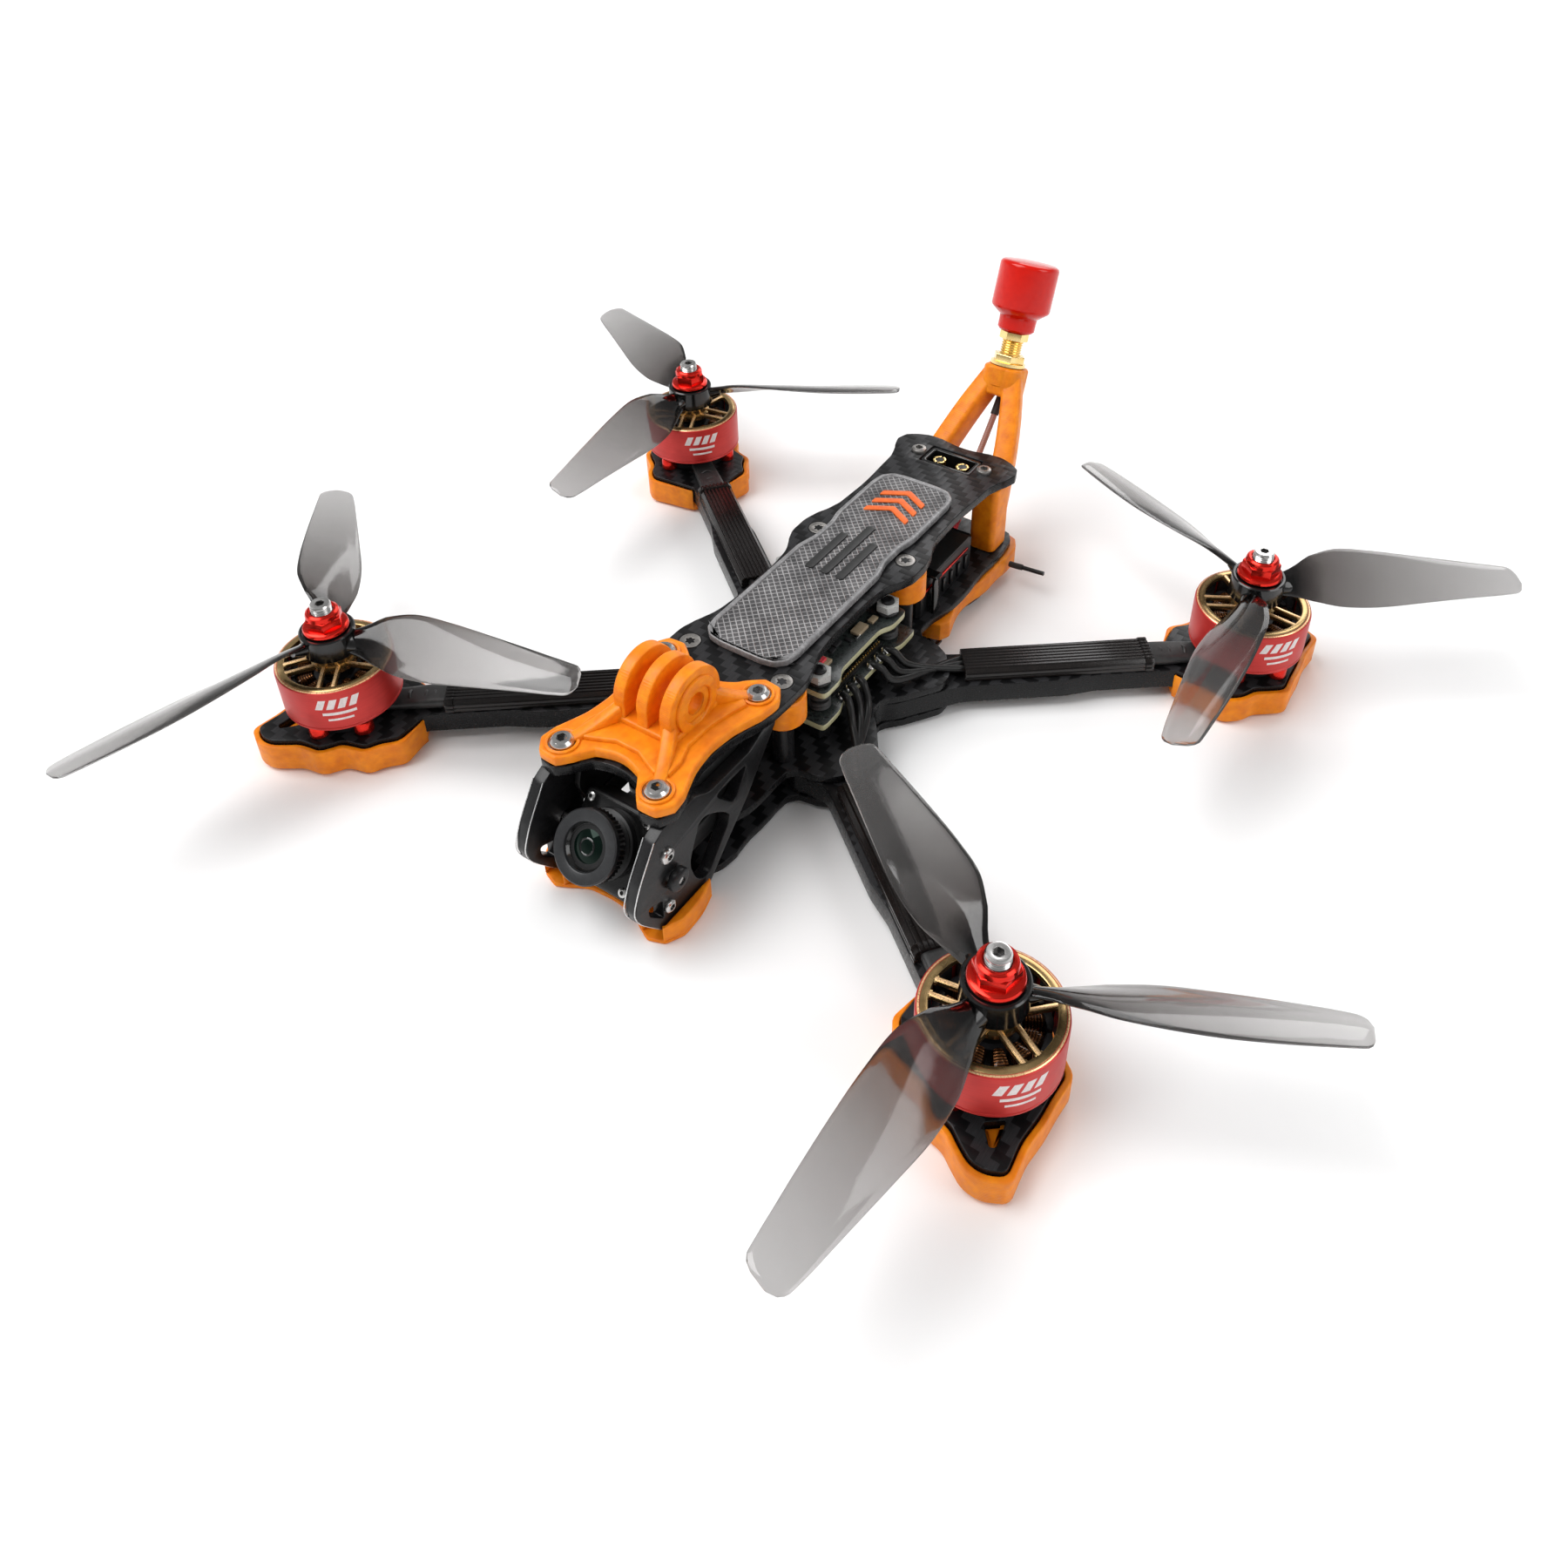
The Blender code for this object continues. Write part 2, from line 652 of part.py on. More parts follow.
def make_pivot_screws():
    """One screw each side, through the camera plate up to the camera's side."""
    shank, head = 1.5 * MM, 2.8 * MM
    for side, name in ((1, "camera_screw_left"), (-1, "camera_screw_right")):
        profile = [
            (0.0, 2.0 * MM + GAP), (head, 1.6 * MM + GAP), (head, GAP), (shank, GAP),
            (shank, CAMERA_HALF + GAP - CAGE_OUTER), (0.0, CAMERA_HALF + GAP - CAGE_OUTER),
        ]
        mesh = turned_mesh(profile, 10)
        turn = Matrix.Rotation(radians(90.0 * side), 4, "Y")
        moved(mesh, (side * CAGE_OUTER, PIVOT.y, PIVOT.z), turn)
        new_object(name, mesh, "black_metal")


# ---- Soft plastic pieces ----

MOUNT_HALF = mm([(3.8, -66.6), (7.6, -69.4), (9.0, -73.6), (13.2, -75.6), (17.6, -73.2), (18.4, -69.0), (16.0, -64.0),
                 (14.0, -57.0), (14.2, -50.0), (15.6, -44.0), (18.2, -38.4), (17.6, -32.4), (13.6, -29.8),
                 (9.0, -31.6), (5.0, -37.0)])


def prong_outline():
    """One prong in Y and Z: a round end on a foot that spreads into the base."""
    foot = MOUNT_Z + 1.0 * MM
    arc = []
    for i in range(9):
        turn = radians(-10.0 + 200.0 * i / 8)
        arc.append((PRONG_Y + PRONG_RADIUS * cos(turn), PRONG_AXIS_Z + 1.2 * MM + PRONG_RADIUS * sin(turn)))
    return [*arc, (PRONG_Y - PRONG_RADIUS, foot), (PRONG_Y + PRONG_RADIUS, foot)]


def make_action_camera_mount():
    outline = rounded(mirrored(MOUNT_HALF), 2.5 * MM)
    mesh = plate_mesh("action_camera_mount", outline, MOUNT_Z, MOUNT_Z + MOUNT_THICK)
    mount = new_object("action_camera_mount", mesh, "orange_tpu")
    for place in (-1, 0, 1):
        middle = place * PRONG_PITCH
        bore = circle(PRONG_Y, PRONG_AXIS_Z + 1.2 * MM, PRONG_BORE, 10)
        low, high = middle - PRONG_THICK / 2, middle + PRONG_THICK / 2
        join(mount, upright_mesh("prong", prong_outline(), low, high, [bore]))
    block = rectangle(0.0, PRONG_Y, PRONG_PITCH + PRONG_THICK / 2 + 1.2 * MM, PRONG_RADIUS + 1.5 * MM)
    join(mount, plate_mesh("block", rounded(block, 2.0 * MM), MOUNT_Z + 0.5 * MM, MOUNT_Z + MOUNT_THICK + 1.2 * MM))


def make_front_bumper():
    half = mm([(3.0, -74.6), (8.0, -75.4), (11.0, -78.4), (15.4, -78.8), (18.8, -75.6), (19.6, -70.0), (18.2, -63.4),
               (17.0, -60.2), (6.0, -60.2)])
    outline = rounded(mirrored(half), 2.5 * MM)
    mesh = plate_mesh("front_bumper", outline, GUARD_BOTTOM, 4.6 * MM)
    bumper = new_object("front_bumper", mesh, "orange_tpu")
    waist = (BOTTOM_NOSE_HALF[-1][0], -20.0 * MM)
    seat = grown(rounded(mirrored([*BOTTOM_NOSE_HALF, waist]), PLATE_CORNER), GAP)
    cut(bumper, plate_mesh("seat", seat, -GAP, 6.0 * MM))
    sweep = hypot(CAMERA_BEHIND, CAMERA_HALF) + 2 * GAP
    room = (CAMERA_HALF + 1.0 * MM, 20.0 * MM)
    cut(bumper, box_mesh((-room[0], PIVOT.y - room[1], PIVOT.z - sweep), (room[0], PIVOT.y + room[1], PIVOT.z)))
    cage = grown(cage_outline(), GAP)
    for side in (1, -1):
        low, high = sorted((side * (CAGE_INNER - 2.0 * MM), side * (CAGE_OUTER + GAP)))
        cut(bumper, upright_mesh("cage", cage, low, high))


def make_rear_bumper():
    """Fills the space between the bottom and mid plates behind the arms."""
    half = mm([(17.0, 36.5), (20.0, 38.5), (19.6, 42.5), (17.6, 47.0), (17.2, 56.0), (19.6, 62.0),
               (18.6, 68.0), (20.0, 75.5), (19.0, 82.0), (15.5, 85.0)])
    outline = rounded(mirrored(half), 2.5 * MM)
    mesh = plate_mesh("rear_bumper", outline, ARM_Z, MID_Z - GAP)
    bumper = new_object("rear_bumper", mesh, "orange_tpu")
    hollow = rounded(rectangle(0.0, 60.0 * MM, 9.0 * MM, 14.0 * MM), 3.0 * MM)
    cut(bumper, plate_mesh("hollow", hollow, 0.0, MID_TOP))


def antenna_hub_frame():
    """From the antenna's own axes, with +Z along it, to the drone's. The origin is on the hub's top face."""
    lean = Matrix.Rotation(-HUB_LEAN, 4, "X")
    return Matrix.Translation(HUB) @ lean @ Matrix.Translation((0.0, 0.0, HUB_HALF))


def make_antenna_mount():
    frame = antenna_hub_frame()
    hub = cylinder_mesh(HUB_RADIUS, -2 * HUB_HALF, 0.0, sides=16)
    hub.transform(frame)
    mount = new_object("antenna_mount", hub, "orange_tpu")
    low, high = MID_TOP + GAP, TOP_Z - GAP
    for side in (1, -1):
        x = side * (REAR_STANDOFF_X + COLUMN_OFFSET)
        column = rounded(rectangle(x, REAR_STANDOFF_Y, 3.9 * MM, 4.4 * MM), 1.5 * MM)
        join(mount, plate_mesh("column", column, low, high))
        foot = (x, REAR_STANDOFF_Y + 0.5 * MM, low + 4.0 * MM)
        knee = (side * 10.8 * MM, 90.0 * MM, 29.0 * MM)
        top = (side * 3.8 * MM, HUB.y - 0.8 * MM, HUB.z - 1.0 * MM)
        join(mount, rod_mesh(foot, knee, LEG_RADIUS, 10, LEG_RADIUS))
        join(mount, rod_mesh(Vector(knee) - (Vector(top) - Vector(knee)).normalized() * 2.0 * MM, top, LEG_RADIUS, 10))
    bore = cylinder_mesh(SMA_RADIUS + BORE_GAP, -4 * HUB_HALF, HUB_HALF, sides=16)
    bore.transform(frame)
    cut(mount, bore)
    cut(mount, box_mesh((-30 * MM, 60 * MM, 0.0), (30 * MM, 120 * MM, low)))
    for side in (1, -1):
        place = (side * REAR_STANDOFF_X, REAR_STANDOFF_Y)
        cut(mount, cylinder_mesh(REAR_STANDOFF_RADIUS + BORE_GAP, 0.0, TOP_TOP, place, 12))
        inboard = side * (REAR_STANDOFF_X + COLUMN_OFFSET - 3.9 * MM)
        cut(mount, box_mesh(
            (min(inboard, 0.0) - 0.1 * MM, 60 * MM, 0.0), (max(inboard, 0.0) + 0.1 * MM, 79.5 * MM, TOP_TOP)
        ))


def make_battery_pad():
    half = mm([(7.2, -25.2), (10.6, -23.8), (12.0, -20.5), (12.0, 17.5), (10.6, 20.5), (10.6, 30.0), (11.6, 32.5),
               (11.6, 53.0), (10.2, 56.6), (6.5, 58.0)])
    outline = rounded(mirrored(half), 1.5 * MM)
    mesh = plate_mesh("battery_pad", outline, PAD_Z, PAD_Z + PAD_THICK)
    new_object("battery_pad", mesh, "clear_tpu")


# ---- Electronics ----


def board_outline(half_x, half_y, ear):
    """A board with its corners pushed out round the mounting holes."""
    return [
        (-half_x, -half_y), (half_x, -half_y), (half_x + ear, -half_y + 1.0 * MM),
        (half_x + ear, -half_y + 7.0 * MM),
        (half_x - ear, -half_y + 10.0 * MM), (half_x - ear, half_y - 10.0 * MM),
        (half_x + ear, half_y - 7.0 * MM),
        (half_x + ear, half_y - 1.0 * MM), (half_x, half_y), (-half_x, half_y),
        (-half_x - ear, half_y - 1.0 * MM),
        (-half_x - ear, half_y - 7.0 * MM), (-half_x + ear, half_y - 10.0 * MM),
        (-half_x + ear, -half_y + 10.0 * MM),
        (-half_x - ear, -half_y + 7.0 * MM), (-half_x - ear, -half_y + 1.0 * MM),
    ]


def make_boards():
    holes = stack_holes(POST_RADIUS + BORE_GAP)
    esc = plate_mesh("esc_board", board_outline(19.6 * MM, 21.0 * MM, 0.6 * MM), ESC_Z, ESC_Z + BOARD_THICK, holes)
    new_object("esc_board", esc, "circuit_board")
    fc = plate_mesh(
        "flight_controller", board_outline(18.0 * MM, 18.6 * MM, 0.9 * MM), FC_Z, FC_Z + BOARD_THICK, holes
    )
    controller = new_object("flight_controller", fc, "circuit_board")
    chip_top = FC_Z + BOARD_THICK + 1.2 * MM
    join(controller, box_mesh((-5 * MM, -5 * MM, FC_Z + 0.5 * MM), (5 * MM, 5 * MM, chip_top)))


def make_stack_posts():
    """A bolt through the plates and both boards, with its spacers and its clear nut."""
    for corner, (side, end) in CORNERS.items():
        shank, spacer, nut = POST_RADIUS, 2.8 * MM, 3.0 * MM
        low, esc_top, fc_top = MID_TOP + GAP, ESC_Z + BOARD_THICK + GAP, FC_Z + BOARD_THICK + GAP
        profile = [
            (0.0, NUT_TOP), (nut, NUT_TOP), (nut, fc_top), (shank, fc_top), (shank, FC_Z - GAP),
            (spacer, FC_Z - GAP),
            (spacer, esc_top), (shank, esc_top), (shank, ESC_Z - GAP), (spacer, ESC_Z - GAP), (spacer, low),
            (shank, low), (shank, GAP), (0.0, GAP),
        ]
        mesh = moved(turned_mesh(profile, 8), (side * POST_HALF, end * POST_HALF, 0.0))
        new_object(f"stack_post_{corner}", mesh, "black_plastic")


def make_video_transmitter():
    half_x, half_y = 14.0 * MM, 14.5 * MM
    low, high = MID_TOP + GAP, 20.5 * MM
    outline = rounded(rectangle(0.0, VTX_Y, half_x, half_y), 1.0 * MM)
    box = new_object("video_transmitter", plate_mesh("video_transmitter", outline, low, high), "black_metal")
    for i in range(5):
        y = VTX_Y - half_y + (4.0 + 5.0 * i) * MM
        cut(box, box_mesh((-12.0 * MM, y, high - 1.6 * MM), (12.0 * MM, y + 2.4 * MM, high + 1.0 * MM)))


def make_xt60():
    low, high = TOP_Z - 11.0 * MM, TOP_TOP - 0.4 * MM
    outline = rounded(rectangle(0.0, REAR_STANDOFF_Y, XT60_HALF_X, XT60_HALF_Y), 1.0 * MM)
    connector = new_object("xt60_connector", plate_mesh("xt60", outline, low, high), "black_plastic")
    recess = rectangle(0.0, REAR_STANDOFF_Y, XT60_HALF_X - 1.1 * MM, XT60_HALF_Y - 1.1 * MM)
    floor = high - 8.0 * MM
    cut(connector, plate_mesh("recess", recess, floor, high + GAP))
    for side in (1, -1):
        join(connector, cylinder_mesh(1.7 * MM, floor - 1.0 * MM, high - 0.6 * MM, (side * 3.6 * MM, REAR_STANDOFF_Y), 10))


def make_antenna():
    frame = antenna_hub_frame()
    profile = [
        (0.0, 10.0), (3.1, 10.0), (3.1, 3.6), (4.6, 3.4), (4.6, 1.4), (5.0, 1.2), (5.0, 0.3), (2.6, 0.3),
        (2.6, -5.4),
        (0.0, -5.4),
    ]
    sma = turned_mesh(mm(profile), 12)
    sma.transform(frame)
    new_object("sma_connector", sma, "gold")
    neck = 5.3 * MM
    base = 10.0 * MM + GAP
    profile = [
        (0.0, base + RADOME_HEIGHT), (RADOME_RADIUS - 1.2 * MM, base + RADOME_HEIGHT),
        (RADOME_RADIUS, base + RADOME_HEIGHT - 1.2 * MM), (RADOME_RADIUS, base + 6.6 * MM),
        (neck, base + 4.2 * MM), (neck, base + 0.6 * MM), (neck - 0.6 * MM, base), (0.0, base),
    ]
    radome = turned_mesh(profile, 24)
    radome.transform(frame)
    new_object("antenna_radome", radome, "red_plastic")


def tube(name, points, radius, finish, resolution=2):
    """A round wire through the given points, as a smooth curve sampled every few millimetres."""
    curve = bpy.data.curves.new(name, "CURVE")
    curve.dimensions = "3D"
    curve.bevel_depth = radius
    curve.bevel_resolution = resolution
    curve.use_fill_caps = True
    spline = curve.splines.new("POLY")
    samples = smooth_path([Vector(point) for point in points], 3)
    spline.points.add(len(samples) - 1)
    for point, place in zip(spline.points, samples):
        point.co = (*place, 1.0)
    obj = bpy.data.objects.new(name, curve)
    PARTS.objects.link(obj)
    curve.materials.append(finish_of(finish))
    return obj


def smooth_path(points, steps):
    """A Catmull-Rom curve through the points, with this many samples between each two."""
    padded = [2 * points[0] - points[1], *points, 2 * points[-1] - points[-2]]
    out = []
    for a, b, c, d in zip(padded, padded[1:], padded[2:], padded[3:]):
        for k in range(steps):
            t = k / steps
            out.append(
                0.5 * (2 * b + (c - a) * t + (2 * a - 5 * b + 4 * c - d) * t * t + (3 * b - a - 3 * c + d) * t ** 3)
            )
    out.append(points[-1])
    return out


def make_coax_cable():
    """From the transmitter's rear end up between the mount's legs to the connector's underside."""
    end = antenna_hub_frame() @ Vector((0.0, 0.0, -5.4 * MM - GAP))
    before = antenna_hub_frame() @ Vector((0.0, 0.0, -11.0 * MM))
    route = mm([(0.0, 62.8, 16.0), (0.0, 66.5, 15.6), (0.0, 74.0, 15.4), (0.0, 82.0, 18.0), (0.0, 90.0, 25.0)])
    tube("coax_cable", [*route, tuple(before), tuple(end)], 0.9 * MM, "pink_wire", 1)


def make_receiver_antenna():
    """Out of the rear bumper's side, nearly level."""
    route = mm([(20.6, 74.0, 6.0), (24.0, 73.9, 6.3), (31.0, 73.7, 6.9)])
    tube("receiver_antenna", route, 0.8 * MM, "black_plastic", 1)


# ---- Motors and propellers ----


def spoke_meshes(angle):
    """Pairs of thin spokes from the shaft's hub out to the bell's ring."""
    out = []
    low, high = BELL_TOP - BELL_FACE, BELL_TOP - 0.1 * MM
    for i in range(SPOKES):
        turn = Matrix.Rotation(radians(angle) + 2 * pi * i / SPOKES, 4, "Z")
        for side in (1, -1):
            y = side * SPOKE_SPREAD
            bar = box_mesh((2.0 * MM, y - 0.5 * MM, low), (BELL_RADIUS - 0.7 * MM, y + 0.5 * MM, high))
            bar.transform(turn)
            out.append(bar)
    return out


def bell_mesh():
    """The open ring of the bell, and the shaft with its hub, as one turned part each."""
    inner = BELL_RADIUS - BELL_WALL
    lip = inner - BELL_LIP
    return turned_mesh([
        (lip, BELL_TOP), (BELL_RADIUS - 0.6 * MM, BELL_TOP), (BELL_RADIUS, BELL_TOP - 0.6 * MM),
        (BELL_RADIUS, BELL_LOW), (inner, BELL_LOW), (lip, BELL_TOP - BELL_FACE), (lip, BELL_TOP),
    ], 20)


def shaft_mesh():
    foot = ARM_TOP + 1.2 * MM
    hub = 4.6 * MM
    return turned_mesh([
        (0.0, SHAFT_TOP), (SHAFT_RADIUS, SHAFT_TOP),
        (SHAFT_RADIUS, HUB_LOW - GAP), (hub, HUB_LOW - GAP), (hub, BELL_TOP - 2.6 * MM),
        (2.0 * MM, BELL_TOP - 2.6 * MM),
        (2.0 * MM, foot), (0.0, foot),
    ], 10)


def base_mesh():
    """The fixed half of a motor: its foot plate, and the wound core round a bore for the shaft."""
    core = BELL_RADIUS - BELL_WALL - BELL_LIP - ROTOR_GAP
    floor = ARM_TOP + GAP
    core_low, core_top = BELL_LOW + 1.0 * MM, BELL_TOP - 3.0 * MM
    neck = 5.0 * MM
    bore = 2.0 * MM + BORE_GAP
    return turned_mesh([
        (bore, core_top), (core, core_top), (core, core_low), (neck, core_low), (neck, floor + BASE_THICK),
        (BASE_RADIUS, floor + BASE_THICK), (BASE_RADIUS, floor), (bore, floor), (bore, core_top),
    ], 16)


def make_motor(corner):
    side, end = CORNERS[corner]
    place = (side * MOTOR_X, end * MOTOR_Y, 0.0)
    new_object(f"motor_base_{corner}", base_mesh(), "copper").location = place
    bell = new_object(f"motor_bell_{corner}", bell_mesh(), "red_metal")
    join(bell, shaft_mesh(), *spoke_meshes(BELL_ANGLE[corner]))
    bell.location = place
    for modifier in bell.modifiers:
        modifier.object.location = place
    return place


# Along a blade, in mm: radius, chord, pitch in degrees, sweep towards the trailing edge, height of the middle
# above the hub's own middle
BLADE_TIP = 64.8 * MM
BLADE_SECTIONS = (
    (4.5, 5.6, 42.0, 0.0, -0.1),
    (8.5, 7.4, 40.0, -0.5, 0.2),
    (13.0, 11.5, 38.0, -1.2, 0.5),
    (20.0, 15.3, 32.5, -1.4, 0.6),
    (29.0, 15.6, 26.0, -1.2, 0.6),
    (39.0, 13.9, 20.5, -1.4, 0.4),
    (49.0, 11.4, 16.5, -1.6, 0.3),
    (58.0, 8.8, 14.0, -1.6, 0.2),
    (63.2, 6.4, 13.0, -1.7, 0.1),
)
BLADE_THICK = (3.2, 2.6, 2.1, 1.8, 1.5, 1.3, 1.1, 0.95, 0.8)


def blade_mesh(turn, spin):
    """One blade lofted through its sections. spin is 1 where the leading edge faces anticlockwise."""
    bm = bmesh.new()
    scale = PROP_RADIUS / BLADE_TIP
    rings = []
    for (radius, chord, pitch, sweep, height), thick in zip(BLADE_SECTIONS, BLADE_THICK):
        ring = []
        for along, above in ((-0.5, 0.0), (-0.28, 0.42), (0.1, 0.5), (0.5, 0.0), (0.1, -0.3), (-0.28, -0.25)):
            across = along * chord + sweep
            lift = along * chord * sin(radians(pitch)) * -1.0 + above * thick
            y = across * cos(radians(pitch)) * -spin
            z = (height + lift) * MM + HUB_LOW + PROP_HUB_HEIGHT / 2
            ring.append(bm.verts.new((radius * MM * scale, y * MM, z)))
        rings.append(ring)
    for inner, outer in zip(rings, rings[1:]):
        for i in range(len(inner)):
            k = (i + 1) % len(inner)
            bm.faces.new((inner[i], inner[k], outer[k], outer[i]))
    bm.faces.new(rings[0])
    tip = bm.verts.new((
        PROP_RADIUS, sum(v.co.y for v in rings[-1]) / len(rings[-1]), sum(v.co.z for v in rings[-1]) / len(rings[-1])
    ))
    for i in range(len(rings[-1])):
        bm.faces.new((rings[-1][i], rings[-1][(i + 1) % len(rings[-1])], tip))
    bmesh.ops.rotate(bm, verts=bm.verts, matrix=Matrix.Rotation(radians(turn), 3, "Z"), cent=(0, 0, 0))
    return smooth(mesh_from(bm, "blade"))


def make_propeller(corner, place):
    bore = SHAFT_RADIUS + BORE_GAP
    ring = turned_mesh([
        (bore, PROP_HUB_TOP), (PROP_HUB_RADIUS, PROP_HUB_TOP), (PROP_HUB_RADIUS, HUB_LOW), (bore, HUB_LOW),
        (bore, PROP_HUB_TOP),
    ], 14)
    prop = new_object(f"propeller_{corner}", ring, "smoke_plastic")
    for i in range(3):
        join(prop, blade_mesh(BLADE_ANGLE[corner] + 120.0 * i, SPIN[corner]))
    prop.location = place
    for modifier in prop.modifiers:
        modifier.object.location = place


def make_prop_nut(corner, place):
    bore = SHAFT_RADIUS + BORE_GAP
    low = PROP_HUB_TOP + GAP
    flange = 1.3 * MM
    top = low + NUT_HEIGHT
    mesh = turned_mesh([
        (bore, top), (NUT_HALF, top), (NUT_HALF, low + flange), (NUT_FLANGE, low + flange), (NUT_FLANGE, low),
        (bore, low), (bore, top),
    ], 12)
    new_object(f"prop_nut_{corner}", mesh, "red_metal").location = place


def make_wire_covers():
    """A ribbed cover over the motor wires on each arm, narrower at its top edges."""
    half = COVER_WIDTH / 2
    low = ARM_TOP + GAP
    section = [
        (-half, low), (half, low), (half, low + COVER_HEIGHT - 1.0 * MM),
        (half - 1.0 * MM, low + COVER_HEIGHT),
        (-half + 1.0 * MM, low + COVER_HEIGHT), (-half, low + COVER_HEIGHT - 1.0 * MM),
    ]
    for corner, (side, end) in CORNERS.items():
        mesh = upright_mesh("cover", section, COVER_START, COVER_END)
        angle = atan2(end * MOTOR_Y, side * MOTOR_X)
        mesh.transform(Matrix.Rotation(angle, 4, "Z"))
        new_object(f"wire_cover_{corner}", mesh, "black_plastic")


def build():
    make_bottom_plate()
    make_mid_plate()
    make_top_plate()
    make_arms()
    make_arm_guards()
    make_standoffs()
    make_camera_plates()
    make_camera()
    make_pivot_screws()
    make_action_camera_mount()
    make_front_bumper()
    make_rear_bumper()
    make_antenna_mount()
    make_battery_pad()
    make_boards()
    make_stack_posts()
    make_video_transmitter()
    make_xt60()
    make_antenna()
    make_coax_cable()
    make_receiver_antenna()
    make_wire_covers()
    for corner in CORNERS:
        place = make_motor(corner)
        make_propeller(corner, place)
        make_prop_nut(corner, place)


build()
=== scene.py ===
"""Looks for the 5-inch FPV racing drone: detailed pieces, materials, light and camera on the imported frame.

Metres, +Z up. The nose points along -Y and +X is the drone's left side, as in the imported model.
The helpers take millimetres and degrees.
"""

import random
from math import atan2, cos, degrees, hypot, pi, radians, sin

import bmesh
import bpy
from mathutils import Matrix, Vector


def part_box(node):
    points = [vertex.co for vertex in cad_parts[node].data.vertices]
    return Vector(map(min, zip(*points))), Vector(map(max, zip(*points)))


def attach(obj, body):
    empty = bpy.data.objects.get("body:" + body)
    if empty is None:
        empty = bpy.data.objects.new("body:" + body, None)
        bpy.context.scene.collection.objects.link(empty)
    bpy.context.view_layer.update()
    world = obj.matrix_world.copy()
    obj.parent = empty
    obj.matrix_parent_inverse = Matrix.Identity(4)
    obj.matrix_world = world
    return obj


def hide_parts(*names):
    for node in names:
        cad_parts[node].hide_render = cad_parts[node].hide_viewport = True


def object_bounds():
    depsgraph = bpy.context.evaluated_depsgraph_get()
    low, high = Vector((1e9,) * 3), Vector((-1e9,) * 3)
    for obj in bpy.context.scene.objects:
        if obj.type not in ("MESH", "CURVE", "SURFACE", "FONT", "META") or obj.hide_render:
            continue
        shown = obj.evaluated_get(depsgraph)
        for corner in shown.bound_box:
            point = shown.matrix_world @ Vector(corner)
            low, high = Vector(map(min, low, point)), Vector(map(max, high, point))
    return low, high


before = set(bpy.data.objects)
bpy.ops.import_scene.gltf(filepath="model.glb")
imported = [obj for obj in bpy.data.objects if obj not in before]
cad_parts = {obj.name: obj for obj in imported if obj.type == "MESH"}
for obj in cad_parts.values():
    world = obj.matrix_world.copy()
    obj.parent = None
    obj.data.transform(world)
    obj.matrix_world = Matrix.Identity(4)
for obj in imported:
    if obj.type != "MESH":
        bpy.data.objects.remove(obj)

CAD_BOX = [list(corner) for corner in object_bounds()]
MM = 0.001
CORNERS = {"front_left": (1, -1), "front_right": (-1, -1), "rear_right": (-1, 1), "rear_left": (1, 1)}
SIDES = {"left": 1, "right": -1}


def box_of(node):
    """The node's lowest and highest corners."""
    return [Vector(corner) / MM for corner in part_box(node)]


def height_of(node):
    return tuple(corner.z for corner in box_of(node))


def middle_of(node):
    return sum(box_of(node), Vector()) / 2


BOTTOM_LOW = height_of("bottom_plate")[0]
ARM_LOW, ARM_TOP = height_of("arm_front_left")
MID_TOP = height_of("mid_plate")[1]
TOP_LOW, TOP_TOP = height_of("top_plate")
PAD_LOW, PAD_TOP = height_of("battery_pad")
ESC_LOW = height_of("esc_board")[0]
FC_LOW = height_of("flight_controller")[0]
BOARD_THICK = 1.6
STACK_HALF = 15.25
GUARD_LOW, GUARD_TOP = height_of("arm_guard_front_left")
COVER_LOW, COVER_TOP = height_of("wire_cover_front_left")
DECK_X, DECK_Y = 13.0, 27.0
TAIL_X, TAIL_Y = 10.25, 74.2
NUT_LOW, NUT_TOP = height_of("prop_nut_front_left")
HUB_HEIGHT = 6.2
HUB_LOW = NUT_LOW - 0.3 - HUB_HEIGHT
SHAFT_TOP = height_of("motor_bell_front_left")[1]
MOTOR = middle_of("prop_nut_front_left")
CAMERA_PIVOT = middle_of("camera_screw_left") * Vector((0.0, 1.0, 1.0))

# ---- Materials ----


class Value:
    """A number or a colour inside a material. Arithmetic on it adds math nodes."""

    def __init__(self, graph, socket):
        self.graph = graph
        self.socket = socket

    def __add__(self, other):
        return self.graph.math("ADD", self, other)

    def __sub__(self, other):
        return self.graph.math("SUBTRACT", self, other)

    def __rsub__(self, other):
        return self.graph.math("SUBTRACT", other, self)

    def __mul__(self, other):
        return self.graph.math("MULTIPLY", self, other)

    def __truediv__(self, other):
        return self.graph.math("DIVIDE", self, other)

    def __pow__(self, other):
        return self.graph.math("POWER", self, other)

    def __gt__(self, other):
        return self.graph.math("GREATER_THAN", self, other)

    def __lt__(self, other):
        return self.graph.math("LESS_THAN", self, other)

    def __abs__(self):
        return self.graph.math("ABSOLUTE", self)


